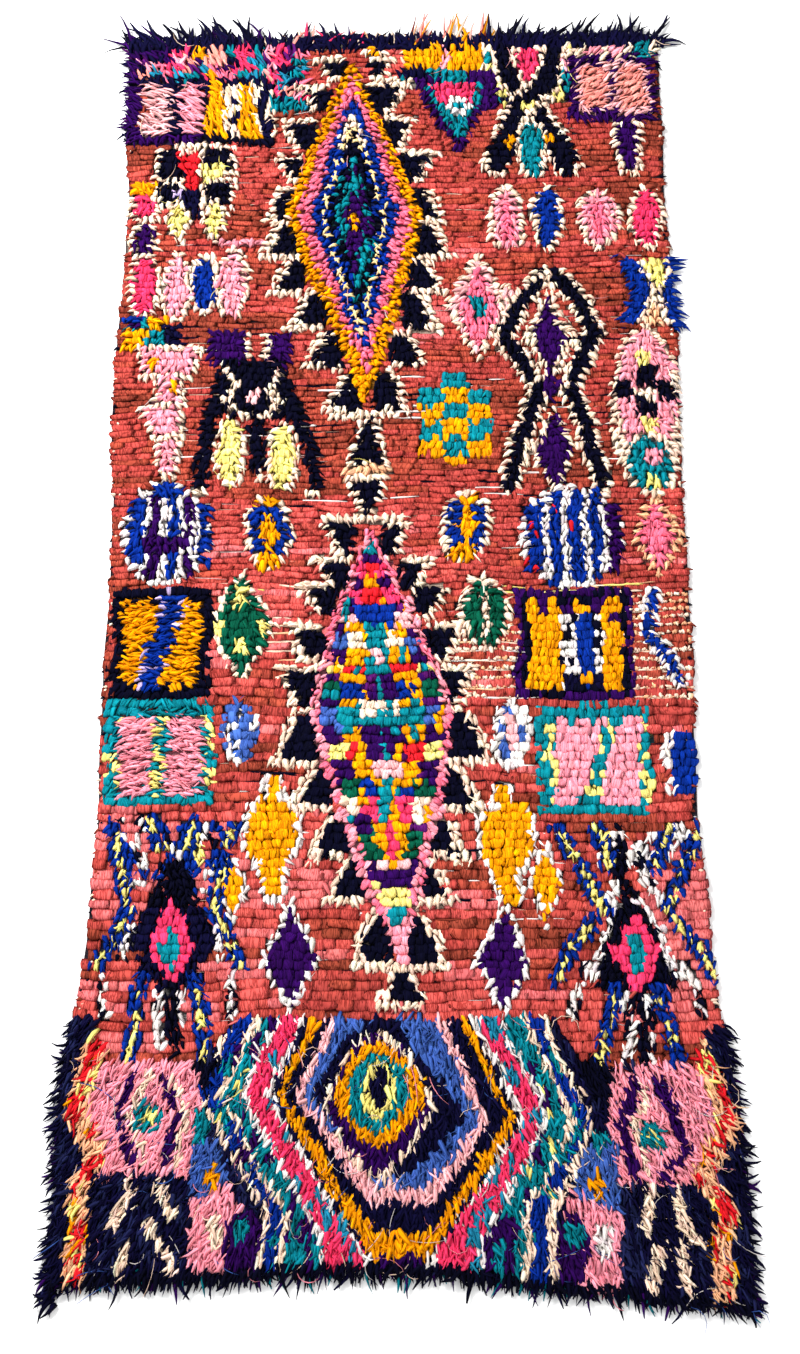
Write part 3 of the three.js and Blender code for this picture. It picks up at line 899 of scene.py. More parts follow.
motif = chart.dye >= groundDyeCount
motifCore = blur(motif.astype(float), 1) > 0.9
lowerHalf = (chart.plainY < -19) & ~chart.shag
pale = chart.holds("cream", "white", "peach") & ~chart.shag
border = nearOther(np.where(motif, chart.dye, -1), 4)
topCorner = chart.ring(0, (-62, 102), (-62, 136), (-18, 136), (-18, 110), (-26, 102)) & motif
topRows = chart.plainY > highEdge(chart.plainX / 100) * 100 - 2.2
ribbon = nestedIn(lowerLozenge, 15.4, 20, -71)  # the pink edge of the lower lozenge
tallBands = nestedIn(upperLozenge, 14.6, 123, 43.5)
calm = nestedIn(lowerLozenge, 12.2, 14, -64)  # blunt rags up to their borders
calm |= chart.boxes((3, 20, 29, 51.5), (22, 49, -42, 6), (-59, -34, -42, 6))
sideways = chart.boxes((-55.4, -37.6, -36.8, -20.4), (-55.4, -39, -15, 2.4))
legs = chart.boxes((-60, -30, -88, -40), (26, 60, -88, -40)) & ~chart.shag
legs &= chart.holds("cobalt", "yellow", "white", "black", "navy")

chart.leafy = (motif & border & ~lowerHalf | topCorner | topRows) & ~chart.shag | pale  # loose pointed ends
chart.leafy = chart.leafy & ~calm | sideways | legs & (~chart.holds("navy") | border)

# the way out of a motif, and how near its edge a place is: quieter in the ribbon and the lower half
slopeY, slopeX = np.gradient(blur(motif.astype(float), 6))
steep = np.hypot(slopeX, slopeY) + 1e-9
outwardX, outwardY = -slopeX / steep, -slopeY / steep
atEdge = ease(steep / 0.035) * np.where(ribbon, 0.25, 1) * np.where(lowerHalf, 0.25, 1)

leanZones = (  # corners in centimetres, degrees that rags turn from straight down, and how long they are
    (((-62, 116.5), (-62, 140), (-24, 140), (-24, 116.5)), -142, 1.35),
    (((-24, 110), (-24, 140), (-16, 140), (-18, 110)), -40, 1.1),
    (((-56, 104), (-56, 117), (-41, 117), (-41, 104)), -104, 1.45),
    (((-41, 104), (-41, 120), (-27, 120), (-27, 104)), -160, 1.35),
    (((-63, 102), (-63, 129), (-55.4, 129), (-55.4, 102)), -110, 1.5),
    (((0, 118), (0, 140), (21, 140), (21, 118)), 180, 1.0),
    (((36, 108), (36, 140), (57, 140), (57, 108)), 120, 1.15),
    (((-58, -37.4), (-58, 3), (-47.4, 3), (-47.4, -37.4)), -80, 1.0),
    (((-47.4, -37.4), (-47.4, 3), (-36, 3), (-36, -37.4)), 80, 1.0),
)


def leanRags():
    # the zones, the far edge, and the tall lozenges, whose rags fan out from their middle line
    chart.reach[pale & ~lowerHalf] = 0.82  # pale rags are short, so that outlines stay crisp
    for corners, degrees, longer in leanZones:
        zone = chart.ring(0, *corners) & motif
        chart.lean[zone] = degrees
        chart.reach[zone] = longer
    chart.lean[topRows] = 180
    chart.reach[topRows] = 1.5
    for plan in (upperLozenge, lowerLozenge):
        zone = wholeOf(plan, 0.6) & ~chart.shag
        chart.lean[zone] = (plan["fan"] * np.clip(offLine(plan) / 4, -1, 1))[zone]
    chart.lean[calm & ~sideways] *= 0.3


def sizeRags():
    # how long and how wide rags are against their row's plan, the later ones over the earlier ones
    lowPale = pale & lowerHalf
    for zone, longer in ((ribbon, 0.85), (tallBands, 0.78), (lowPale, 0.92), (legs, 0.86)):
        chart.reach[zone] = longer
    for zone, wider in ((pale, 1.04), (lowPale, 1.20), (sideways, 1.5), (ribbon, 1.2), (tallBands, 1.3)):
        chart.girth[zone] = wider


leanRags()
sizeRags()

rowPlan = {
    "pile": ((-1.30, 0.0200), (-0.86, 0.0200), (-0.78, 0.0178), (0.2, 0.0172), (0.5, 0.0160), (1.3, 0.0158)),
    "ground": ((-1.30, 0.0190), (-0.10, 0.0188), (0.02, 0.0138), (0.12, 0.0125), (1.3, 0.0121)),
    "wave": 0.0028,  # how far a row wanders
    "bendFrom": 0.36,  # rows follow the curved ends over this length
    "groundWidth": 0.0360, "edgeWidth": 0.0200,
    "motifWidth": 0.0057, "leafWidth": 0.0051, "shagWidth": 0.0040,
    "stray": 0.80,  # how far a seam strays, as a share of a rag's width
    "inset": 0.004,
    "stop": 0.010,  # the last row lies nearer than this to the far edge
    "seed": 5,
}


def rowHeights(kind):
    # each row is one local pitch above the last
    places, pitches = zip(*rowPlan[kind])
    heights = [lowMean + rowPlan["inset"]]
    while heights[-1] < highMean - rowPlan["stop"]:
        heights.append(heights[-1] + np.interp(heights[-1], places, pitches))
    return np.array(heights), np.interp(heights, places, pitches)


def rowLine(x, height, order):
    # y = height + pull of the nearer end + two slow waves whose phase drifts from row to row
    pullLow = ease((lowMean + rowPlan["bendFrom"] - height) / rowPlan["bendFrom"])
    pullHigh = ease((height - highMean + rowPlan["bendFrom"]) / rowPlan["bendFrom"])
    bend = pullLow * (lowEdge(x) - lowMean) + pullHigh * (highEdge(x) - highMean)
    wander = np.sin(x * 14 + height * 2.3) + 0.6 * np.sin(x * 31 + height * 4.1 + 0.22 * order)
    return height + bend + rowPlan["wave"] * wander


def joined(found):
    return {key: np.concatenate([part[key] for part in found]) for key in found[0]}


def layRows(kind, width):
    # along a row the running sum of 1 / width passes a whole number at each seam between two rags
    rng = np.random.default_rng(rowPlan["seed"])
    found = []
    for order, (height, pitch) in enumerate(zip(*rowHeights(kind))):
        left, right = (np.interp(height, *outline[side]) for side in ("left", "right"))
        x = np.arange(left + rowPlan["inset"], right - rowPlan["inset"], 0.001)
        y = rowLine(x, height, order)
        running = np.cumsum(0.001 / width[chart.cellOf(x, y)])
        count = int(running[-1])
        seams = np.arange(count + 1) + rowPlan["stray"] * (rng.random(count + 1) - 0.5)
        seams = np.interp(seams * running[-1] / count, running, x)
        middle = (seams[1:] + seams[:-1]) / 2
        found.append({
            "x": middle,
            "y": np.interp(middle, x, y),
            "width": np.diff(seams),
            "pitch": np.full(count, pitch),
            "slope": np.interp(middle, x, np.gradient(y, x)),
        })
    return joined(found)


def rowsOfGround():
    plain = nearOther(motif.astype(int), 5) | motif
    uneven = 0.65 + 0.75 * driftNoise(chart.x, chart.y, 5, 1.9, 24)
    return layRows("ground", np.where(plain, rowPlan["edgeWidth"], rowPlan["groundWidth"] * uneven))


def rowsOfPile():
    leaf = rowPlan["leafWidth"] * (1 - 0.10 * lowerHalf) * (1 - 0.25 * sideways)
    width = np.where(motif & ~chart.leafy, rowPlan["motifWidth"] * (1 + 0.3 * lowerHalf), leaf)
    return layRows("pile", np.where(chart.shag, rowPlan["shagWidth"], width))


groundTufts = rowsOfGround()
tufts = rowsOfPile()
print("rows laid")

# one rag of cloth: a closed strip carried along a bending line

pointed = {"around": (-1.0, -0.1, 1.0), "height": (0.0, 1.0, 0.0), "pucker": 0.26}

forms = {
    "ground": {  # a flat folded rag, puckered across
        "around": (-1.0, -0.56, -0.04, 0.50, 1.0, -0.1),
        "height": (0.92, 1.0, 0.95, 1.0, 0.93, 0.0),
        "along": (0.0, 0.40, 0.82, 1.0),
        "girth": (0.94, 1.0, 1.0, 0.92),
        "rise": (0.0, 0.74, 0.88, 0.30),
        "thick": (0.50, 1.0, 0.95, 0.50),
        "bow": 0.10,
        "pucker": 0.46,
    },
    "motif": {
        "around": (-1.0, -0.5, 0.5, 1.0),
        "height": (0.46, 1.0, 0.96, 0.50),
        "along": (0.0, 0.34, 0.76, 1.0),
        "girth": (0.86, 1.06, 1.04, 0.80),
        "rise": (0.0, 0.84, 0.94, 0.34),
        "thick": (0.60, 1.0, 0.95, 0.5),
        "bow": 0.08,
        "pucker": 0.16,
    },
    "leaf": {  # a loose pointed end
        **pointed,
        "along": (0.0, 0.36, 0.74, 1.0),
        "girth": (0.84, 1.10, 1.0, 0.74),
        "rise": (0.0, 0.84, 0.96, 0.46),
        "thick": (0.70, 1.0, 0.9, 0.4),
    },
    "strand": {
        **pointed,
        "along": (0.0, 0.30, 0.66, 1.0),
        "girth": (0.80, 1.08, 1.04, 0.62),
        "rise": (0.0, 0.86, 1.0, 0.40),
        "thick": (0.60, 1.0, 1.0, 0.3),
    },
    "spike": {  # a strand that thins all the way to its tip
        **pointed,
        "along": (0.0, 0.25, 0.5, 0.75, 1.0),
        "girth": (1.0, 1.0, 0.90, 0.70, 0.42),
        "rise": (0.0, 0.86, 1.0, 0.70, 0.40),
        "thick": (0.80, 1.0, 0.9, 0.7, 0.3),
    },
    "thread": {
        "around": (-1.0, 0.0, 1.0),
        "height": (0.0, 1.0, 0.0),
        "along": (0.0, 0.2, 0.4, 0.6, 0.8, 1.0),
        "girth": (0.8, 1.0, 0.9, 1.0, 0.9, 0.6),
        "rise": (0.2, 0.9, 1.0, 0.8, 1.0, 0.3),
        "thick": (1.0, 1.0, 1.0, 1.0, 1.0, 0.7),
        "pucker": 0.1,
    },
}

softLimit = ((0.650, 0.018), (1.350, 0.032))  # across and along: where it starts, and all the room past that
floorGap = 0.0004  # no rag comes nearer to the floor


def shapeRags(form, rags, seed):
    # place(s, u) = root + sum of steps along a turning heading + u * half width * side,
    # z(s, u) = base + rise(s) * lift + height(u) * thick(s) * body + roll * u;
    # the width tapers by point * s^3, and the corners of the free end draw back by bow * length * (s u)^2;
    # past the soft limit a distance d counts as room * tanh(d / room)
    rng = np.random.default_rng(seed)
    plan = forms[form]
    around, height, along, girth, rise, thick = (
        np.array(plan[key]) for key in ("around", "height", "along", "girth", "rise", "thick"))
    count, rings, sides = len(rags["x"]), len(along), len(around)
    x, y, width, length, curl, base, lift, body, point = (
        rags[key][:, None] for key in ("x", "y", "width", "length", "curl", "base", "lift", "body", "point"))
    heading = np.radians(rags["heading"][:, None] + curl * (along - 0.25))
    between = (heading[:, 1:] + heading[:, :-1]) / 2
    stride = np.diff(along) * length
    pathX, pathY = (np.concatenate([np.zeros((count, 1)), np.cumsum(step * stride, 1)], 1)
                    for step in (np.sin(between), -np.cos(between)))
    crease = rng.random((count, 1, sides)) * 0.65 + rng.random((count, rings, sides)) * 0.35
    pucker = 1 - plan["pucker"] * crease * (height > 0.3)
    uneven = 1 + 0.12 * (rng.random((count, rings, sides)) - 0.5)
    reach = (width / 2 * girth * (1 - point * along ** 3))[:, :, None] * around * uneven
    drawn = length[:, :, None] * plan.get("bow", 0) * (along[:, None] * around) ** 2
    side, ahead = np.cos(heading)[:, :, None], np.sin(heading)[:, :, None]
    points = np.empty((count, rings, sides, 3))
    points[..., 0] = (x + pathX)[:, :, None] + side * reach - ahead * drawn
    points[..., 1] = (y + pathY)[:, :, None] + ahead * reach + side * drawn
    top = (body * thick)[:, :, None] * height * pucker
    roll = rags["roll"][:, None, None] * around * (height > 0)
    points[..., 2] = np.maximum((base + rise * lift)[:, :, None] + top + roll, floorGap)
    for axis, (start, room) in enumerate(softLimit):
        beyond = np.maximum(np.abs(points[..., axis]) - start, 0)
        points[..., axis] -= np.sign(points[..., axis]) * (beyond - room * np.tanh(beyond / room))
    lay = np.empty((count, rings, sides, 3))
    lay[..., 0] = around
    lay[..., 1] = along[:, None]
    lay[..., 2] = rng.random(count)[:, None, None]
    return points, lay, np.broadcast_to(rags["tint"][:, None, None, :], lay.shape)


def stripFaces(count, rings, sides):
    # quads between neighbouring rings, and one cap at each end
    ring = np.arange(rings - 1)[:, None] * sides
    side = np.arange(sides)
    after = (side + 1) % sides
    quads = np.stack([ring + side, ring + sides + side, ring + sides + after, ring + after], -1)
    quads = quads.reshape(-1, 4)
    caps = np.stack([side, (rings - 1) * sides + side[::-1]])
    start = np.arange(count)[:, None, None] * rings * sides
    corners = np.concatenate([(quads[None] + start).ravel(), (caps[None] + start).ravel()])
    return corners, np.repeat((4, sides), (count * len(quads), count * len(caps)))


bakeSheet = {"inset": 0.06, "capHeight": 0.04, "capRadius": 0.03, "stripLow": 0.08, "stripHeight": 0.84}


def bakeCells(count, rings, sides):
    # each rag has one square of the sheet: side by side across it, ring by ring up it
    across = int(math.ceil(math.sqrt(count)))
    side = np.arange(sides)
    gridU = np.broadcast_to(np.stack([side, side, side + 1, side + 1], -1) / sides, (rings - 1, sides, 4))
    up = np.broadcast_to(np.array([0, 1, 1, 0]), (rings - 1, sides, 4))
    gridV = (np.arange(rings - 1)[:, None, None] + up) / (rings - 1)
    strip = np.stack([gridU, bakeSheet["stripLow"] + bakeSheet["stripHeight"] * gridV], -1).reshape(-1, 2)
    turn = 2 * np.pi * side / sides
    small = np.stack([np.cos(turn), np.sin(turn)], -1) * bakeSheet["capRadius"]
    up = bakeSheet["capHeight"]
    caps = np.concatenate([small + (0.5, up), small[::-1] + (0.5, 1 - up)])
    corner = np.stack([np.arange(count) % across, np.arange(count) // across], -1)[:, None, :]
    inset = bakeSheet["inset"]
    return np.concatenate([((corner + inset + (1 - 2 * inset) * part[None]) / across).reshape(-1, 2)
                           for part in (strip, caps)])


def addPiece(name, points, corners, totals, material, tint, lay, uv, smooth=True):
    mesh = bpy.data.meshes.new(name)
    mesh.vertices.add(len(points))
    mesh.vertices.foreach_set("co", points.astype(np.float32).ravel())
    mesh.loops.add(len(corners))
    mesh.loops.foreach_set("vertex_index", corners.astype(np.int32))
    mesh.polygons.add(len(totals))
    starts = np.concatenate([[0], np.cumsum(totals)[:-1]])
    mesh.polygons.foreach_set("loop_start", starts.astype(np.int32))
    mesh.polygons.foreach_set("loop_total", totals.astype(np.int32))
    mesh.polygons.foreach_set("use_smooth", np.full(len(totals), smooth))
    mesh.update(calc_edges=True)
    mesh.validate()
    mesh.materials.append(material)
    rgba = np.concatenate([tint, np.ones((len(tint), 1))], 1)
    for title, kind, part, values in (
            ("Tint", "FLOAT_COLOR", "color", rgba), ("Lay", "FLOAT_VECTOR", "vector", lay)):
        data = mesh.attributes.new(title, kind, "POINT").data
        data.foreach_set(part, values.astype(np.float32).ravel())
    mesh.uv_layers.new(name="OFBake").data.foreach_set("uv", uv.astype(np.float32).ravel())
    made = addObject(name, mesh)
    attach(made, "root")
    return made


pieces = []


def addRags(name, form, rags, seed, material, limit=190000):
    # one piece, or as many as keep each under the limit of triangles
    rings, sides = len(forms[form]["along"]), len(forms[form]["around"])
    trianglesEach = 2 * sides * (rings - 1) + 2 * (sides - 2)
    share = max(1, math.ceil(len(rags["x"]) * trianglesEach / limit))
    points, lay, tint = shapeRags(form, rags, seed)
    for i, chosen in enumerate(np.array_split(np.arange(len(rags["x"])), share)):
        count = len(chosen)
        title = name if share == 1 else f"{name}_{i + 1}"
        place, tone, where = (part[chosen].reshape(-1, 3) for part in (points, tint, lay))
        corners, totals = stripFaces(count, rings, sides)
        uv = bakeCells(count, rings, sides)
        pieces.append(addPiece(title, place, corners, totals, material, tone, where, uv))
        print("piece", title, count, "rags", count * trianglesEach, "triangles")
    return pieces[-1]


# finishes


class Sock:
    # a node's output that can stand in a sum: each operator adds one Math node
    def __init__(self, recipe, out):
        self.recipe = recipe
        self.out = out

    def math(self, operation, *inputs):
        return self.recipe.node("ShaderNodeMath", {"operation": operation}, dict(enumerate(inputs)))

    def __abs__(self):
        return self.math("ABSOLUTE", self)

    def sine(self):
        return self.math("SINE", self)

    def least(self, other):
        return self.math("MINIMUM", self, other)


for sign, operation in (("add", "ADD"), ("sub", "SUBTRACT"), ("mul", "MULTIPLY")):
    setattr(Sock, f"__{sign}__", lambda one, other, kind=operation: one.math(kind, one, other))
    setattr(Sock, f"__r{sign}__", lambda one, other, kind=operation: one.math(kind, other, one))


class Recipe:
    def __init__(self, name):
        self.material = bpy.data.materials.new(name)
        self.material.use_nodes = True
        self.tree = self.material.node_tree
        self.tree.nodes.clear()

    def node(self, kind, settings=None, sockets=None, out=0):
        made = self.tree.nodes.new(kind)
        for key, value in (settings or {}).items():
            setattr(made, key, value)
        for key, value in (sockets or {}).items():
            if isinstance(value, Sock):
                self.tree.links.new(value.out, made.inputs[key])
            else:
                made.inputs[key].default_value = value
        return Sock(self, made.outputs[out]) if len(made.outputs) else None

    def attribute(self, name, out):
        return self.node("ShaderNodeAttribute", {"attribute_name": name}, out=out)

    def place(self):
        return self.node("ShaderNodeTexCoord", out=3)

    def parts(self, vector):
        return [self.node("ShaderNodeSeparateXYZ", {}, {0: vector}, out=i) for i in range(3)]

    def noise(self, vector, scale, detail=2.0, roughness=0.5):
        sockets = {"Vector": vector, "Scale": scale, "Detail": detail, "Roughness": roughness}
        return self.node("ShaderNodeTexNoise", {}, sockets)

    def deepened(self, colour, shade):
        # in a fold the light meets the dye twice: from colour^2 at shade 0 to colour at shade 1, then dimmed
        twice = self.node("ShaderNodeVectorMath", {"operation": "MULTIPLY"}, {0: colour, 1: colour})
        blend = self.node("ShaderNodeMix", {"data_type": "RGBA"}, {0: shade, 6: twice, 7: colour}, out=2)
        return self.scaled(blend, 0.30 + 0.70 * shade)

    def scaled(self, colour, factor):
        return self.node("ShaderNodeVectorMath", {"operation": "SCALE"}, {0: colour, "Scale": factor})

    def finish(self, colour, roughness, height, bump, sheen, gloss):
        normal = self.node("ShaderNodeBump", {}, {"Height": height, "Distance": bump, "Strength": 1.0})
        shader = self.node("ShaderNodeBsdfPrincipled", {}, {
            "Base Color": colour, "Roughness": roughness, "Normal": normal, "Sheen Weight": sheen,
            "Specular IOR Level": gloss})
        self.node("ShaderNodeOutputMaterial", {}, {"Surface": shader})
        return self.material


ragLook = {  # painted shade in the creases, at the root and at the tip: how light those places stay
    "pad": {"crease": 0.78, "folds": 2.4, "root": 0.64, "tip": 0.88, "bump": 0.0015},
    "flat": {"crease": 0.50, "folds": 4.2, "root": 0.46, "tip": 0.52, "bump": 0.0018},
    "loose": {"crease": 0.76, "folds": 1.7, "root": 0.73, "tip": 1.0, "bump": 0.0015},
    "sheen": 0.0,
    "gloss": 0.05,
}


def ragFinish(name, kind):
    # colour = tint * painted shade in the creases and towards the root and the tip * lint; the creases run
    # along each rag
    look = ragLook[kind]
    r = Recipe(name)
    tint = r.attribute("Tint", 0)
    around, along, chance = r.parts(r.attribute("Lay", 1))
    place = r.place()
    run = r.node("ShaderNodeCombineXYZ", {}, {
        0: around * look["folds"] + chance * 61, 1: along * 0.8 + chance * 23, 2: chance * 9})
    fold = r.noise(run, 1.0, 2.0, 0.55)
    crease = (abs(fold - 0.5) * 15).least(1.0)
    wide = r.node("ShaderNodeCombineXYZ", {}, {0: around * 0.7 + chance * 37, 1: along * 0.6, 2: chance * 31})
    broad = r.noise(wide, 1.9, 1.0)
    # painted shade: darker towards the root and over the last part of the tip, drawing the dark lines between
    # rows
    rootShade = look["root"] + (1 - look["root"]) * (along * 4.2).least(1.0)
    tip = look["tip"] + (1 - look["tip"]) * ((1 - along) * 8.0).least(1.0)
    lint = r.noise(place, 260.0, 3.0, 0.6)
    knit = r.noise(place, 1400.0, 1.0)
    shade = (look["crease"] + (1 - look["crease"]) * crease) * rootShade * tip
    shade = shade * (0.62 + 0.76 * broad) * (0.86 + 0.28 * lint)
    height = crease * 0.6 + broad * 0.9 + lint * 0.22 + knit * 0.10
    colour = r.deepened(tint, shade)
    return r.finish(colour, 0.80 + 0.16 * lint, height, look["bump"], ragLook["sheen"], ragLook["gloss"])


def weaveFinish(name):
    # a plain weave: ribs across the rug every 5 mm, crossed by finer ones, with painted shade in the grooves
    # between them, over the sheet's Tint: the knots' colours, dimmed, underneath and painted shade on top
    r = Recipe(name)
    tint = r.attribute("Tint", 0)
    place = r.place()
    x, y, _ = r.parts(place)
    rib = abs((y * 620.0 + 2.5 * r.noise(place, 30.0)).sine())
    end = abs((x * 900.0 + 2.0 * r.noise(place, 41.0)).sine())
    lint = r.noise(place, 500.0)
    shade = (0.45 + 0.55 * rib) * (0.7 + 0.3 * end) * (0.8 + 0.4 * lint)
    return r.finish(r.scaled(tint, shade), 0.9 + 0.06 * lint, rib * 0.7 + end * 0.4, 0.0012, 0.1, 0.2)


def floorFinish():
    r = Recipe("studioFloor")
    shader = r.node("ShaderNodeBsdfPrincipled", {}, {"Base Color": (*light["floor"], 1), "Roughness": 0.9})
    r.node("ShaderNodeOutputMaterial", {}, {"Surface": shader})
    return r.material


groundRag, ragPads, ragPile, fringeYarn = (ragFinish(name, kind) for name, kind in (
    ("groundRag", "flat"), ("ragPads", "pad"), ("ragPile", "loose"), ("fringeYarn", "loose")))
groundWeave = weaveFinish("groundWeave")

# the pile

pileLook = {
    "ground": {"length": 1.28, "width": 1.26, "body": 0.40, "lift": 0.0040, "base": 0.0036, "seed": 101,
               "turn": 3, "point": (0.0, 0.16), "stray": 0.04, "ragged": 0.12, "splay": 0, "tone": 0.06},
    "motif": {"length": 1.50, "width": 1.72, "body": 0.20, "lift": 0.0066, "base": 0.0044, "seed": 102,
              "turn": 9, "point": (0.06, 0.60), "stray": 0.09, "ragged": 0.18, "splay": 9},
    "leaf": {"length": 1.60, "width": 1.70, "body": 0.26, "lift": 0.0088, "base": 0.0042, "seed": 103,
             "turn": 17, "point": (0.40, 0.95), "stray": 0.14, "ragged": 0.22, "splay": 17,
             "curl": 2.0, "outward": 1.5},
    "strand": {"length": 1.80, "width": 1.70, "body": 0.22, "lift": 0.0110, "base": 0.0045, "seed": 104,
               "turn": 18, "point": (0.45, 0.97), "stray": 0.18, "ragged": 0.22, "splay": 12, "curl": 2.7},
    "run": {"length": 0.56, "width": 1.40, "body": 0.16, "lift": 0.0036, "base": 0.0080, "seed": 107,
            "turn": 16, "point": (0.40, 0.95), "stray": 0.05, "ragged": 0.24, "splay": 14},
    "tone": 0.14,  # how far one rag's lightness strays from the dye
    "curl": 1.6,
    "outward": 0,  # how much the way out of a motif counts against straight down
    "layer": {"across": 0.5, "below": 0.45, "longer": 0.12, "above": 0.0042},  # the second layer of strands
    "uneven": {"width": 0.08, "base": 0.0006, "lift": 0.22, "body": 0.14, "roll": 0.0011},
}


def dyeRags(dye, rng, stray):
    # each rag is its dye, a little lighter or darker, and a touch warmer or cooler
    tone = 1 + stray * rng.standard_normal((len(dye), 1))
    warmth = 1 + 0.022 * rng.standard_normal((len(dye), 3))
    return np.clip(dyeTable[dye] * np.clip(tone, 0.55, 1.5) * warmth, 0, 1)


runDyes = np.where(patchNoise(chart.x, chart.y, 1.6, 1.2, 58) < 0.6, *numbersOf(("cream", "peach")))
pileDyes = {"ground": chart.ground, "run": runDyes}


def pickRags(kind, laid, mask, layer=0):
    # a second layer sits half a row lower and a rag's thickness higher, and reaches a little further;
    # every three neighbours are one knot: they start near its middle and splay
    look = {**pileLook, **pileLook[kind]}
    over, uneven = look["layer"], look["uneven"]
    rng = np.random.default_rng(look["seed"] + 1000 * layer)
    x, y, width, pitch, slope = (laid[key][mask] for key in ("x", "y", "width", "pitch", "slope"))
    count = len(x)
    x = x + over["across"] * layer * width
    y = y + (look["stray"] * rng.standard_normal(count) - over["below"] * layer) * pitch
    cells = chart.cellOf(x, y)
    lean = np.radians(chart.lean[cells])
    flat = np.abs(np.sin(lean))  # rags that lie across spread over the whole row
    y = y + 0.8 * flat * (rng.random(count) - 0.5) * pitch
    width = width * (1 - 0.30 * flat) * (1 if kind == "ground" else chart.girth[cells])
    stray = np.clip(rng.standard_normal(count), -2, 2)
    length = pitch * look["length"] * (1 + look["ragged"] * stray) * (1 + over["longer"] * layer)
    length = length * (1 if kind == "ground" else chart.reach[cells])
    out = look["outward"] * atEdge[cells]
    aim = np.arctan2(np.sin(lean) + out * outwardX[cells], np.cos(lean) - out * outwardY[cells])
    inKnot = np.arange(count) % 3 - 1
    heading = np.degrees(aim) + look["turn"] * rng.standard_normal(count)
    heading += look["splay"] * inKnot * np.cos(lean)
    heading += np.degrees(np.arctan(slope))
    back = 0.55 * length  # the middle of a rag lies on its row
    sunk = 1 - 0.5 * motif[cells] if kind == "ground" else 1  # ground rags under a motif lie low
    return {
        "x": x - np.sin(np.radians(heading)) * back - 0.025 * look["splay"] * inKnot * width,
        "y": y + np.cos(np.radians(heading)) * back,
        "width": width * look["width"] * (1 + uneven["width"] * rng.standard_normal(count)),
        "length": length,
        "heading": heading,
        "curl": look["turn"] * look["curl"] * rng.standard_normal(count),
        "base": look["base"] + uneven["base"] * rng.standard_normal(count) + over["above"] * layer,
        "lift": look["lift"] * sunk * (1 + uneven["lift"] * rng.standard_normal(count)),
        "body": look["body"] * sunk * pitch * (1 + uneven["body"] * rng.standard_normal(count)),
        "roll": uneven["roll"] * rng.standard_normal(count),
        "point": rng.uniform(*look["point"], count),
        "tint": dyeRags(pileDyes.get(kind, chart.dye)[cells], rng, look["tone"]),
    }


tuftCells = chart.cellOf(tufts["x"], tufts["y"])
groundCells = chart.cellOf(groundTufts["x"], groundTufts["y"])
isShag = chart.shag[tuftCells]
isLeaf = chart.leafy[tuftCells] & ~isShag
isMotif = motif[tuftCells] & ~isShag & ~isLeaf
isGround = ~motifCore[groundCells] & ~chart.shag[groundCells]

for seed, (name, kind, laid, mask, layer, material) in enumerate((
        ("ground_pile", "ground", groundTufts, isGround, 0, groundRag),
        ("motif_pile", "motif", tufts, isMotif, 0, ragPads),
        ("leaf_pile", "leaf", tufts, isLeaf, 0, ragPile),
        ("shag_under", "strand", tufts, isShag, 0, ragPile),
        ("shag_over", "strand", tufts, isShag, 1, ragPile)), 201):
    addRags(name, kind, pickRags(kind, laid, mask, layer), seed, material)

paleRuns = {  # scalloped pale rags under the ground rows of two places
    "places": ((44.6, 59.4, -18.6, 3.4), (7.4, 23.2, -18.4, -2.6)),  # left, right, low, high, in centimetres
    "width": 0.0050,
    "share": 0.80,
    "below": 0.40,  # how far under the row, as a share of its pitch
}


def layRuns():
    # the seams of the ground rows, where a slow noise doesn't leave them out
    laid = layRows("ground", np.full(chart.x.shape, paleRuns["width"]))
    laid["y"] = laid["y"] - paleRuns["below"] * laid["pitch"]
    here = chart.boxes(*paleRuns["places"]) & ~motif
    here &= driftNoise(chart.x, chart.y, 5, 1.6, 59) < paleRuns["share"]
    return pickRags("run", laid, here[chart.cellOf(laid["x"], laid["y"])])


addRags("pale_runs", "leaf", layRuns(), 212, ragPile)

crosses = {  # knots with both ends showing, in a ring inside the upper lozenge, in centimetres
    "every": 1.9, "halfWidth": 6.4, "top": 106.0, "low": 60.0, "out": 0.3, "length": 2.0, "width": 0.66,
    "heading": 34.0, "spread": 30, "seed": 321,
}


def tieCrosses():
    # two rags at right angles on each place of the ring x = middle +- a (1 - t^bulge)
    rng = np.random.default_rng(crosses["seed"])
    heights = np.arange(crosses["low"], crosses["top"], crosses["every"])
    out = reachOf(upperLozenge, heights, crosses["halfWidth"], crosses["top"], crosses["low"])
    out = out + crosses["out"]
    middle = np.interp(heights, *upperLozenge["line"])
    x = 0.01 * np.repeat(np.concatenate([middle - out, middle + out]), 2)
    y = 0.01 * np.repeat(np.tile(heights, 2), 2)
    count = len(x)
    heading = np.tile([crosses["heading"], -crosses["heading"]], count // 2)
    heading = heading + crosses["spread"] * rng.standard_normal(count)
    length = 0.01 * crosses["length"] * (0.65 + 0.6 * rng.random(count))
    x = x + np.repeat(0.0040 * rng.standard_normal(count // 2), 2)
    y = y + np.repeat(0.0030 * rng.standard_normal(count // 2), 2)
    return {
        "x": x - np.sin(np.radians(heading)) * length / 2,
        "y": y + np.cos(np.radians(heading)) * length / 2,
        "width": np.full(count, 0.01 * crosses["width"]),
        "length": length,
        "heading": heading,
        "curl": 20 * rng.standard_normal(count),
        "base": np.full(count, 0.0125),
        "lift": np.full(count, 0.003),
        "body": np.full(count, 0.0034),
        "roll": np.zeros(count),
        "point": rng.uniform(0.3, 0.95, count),
        "tint": np.tile(dyeTable[dyeNames.index("cream")] * (1, 1, 0.62), (count, 1)),
    }


addRags("crossed_knots", "leaf", tieCrosses(), 210, ragPile)

# ends and edges: fringe, selvedge tufts, stray threads

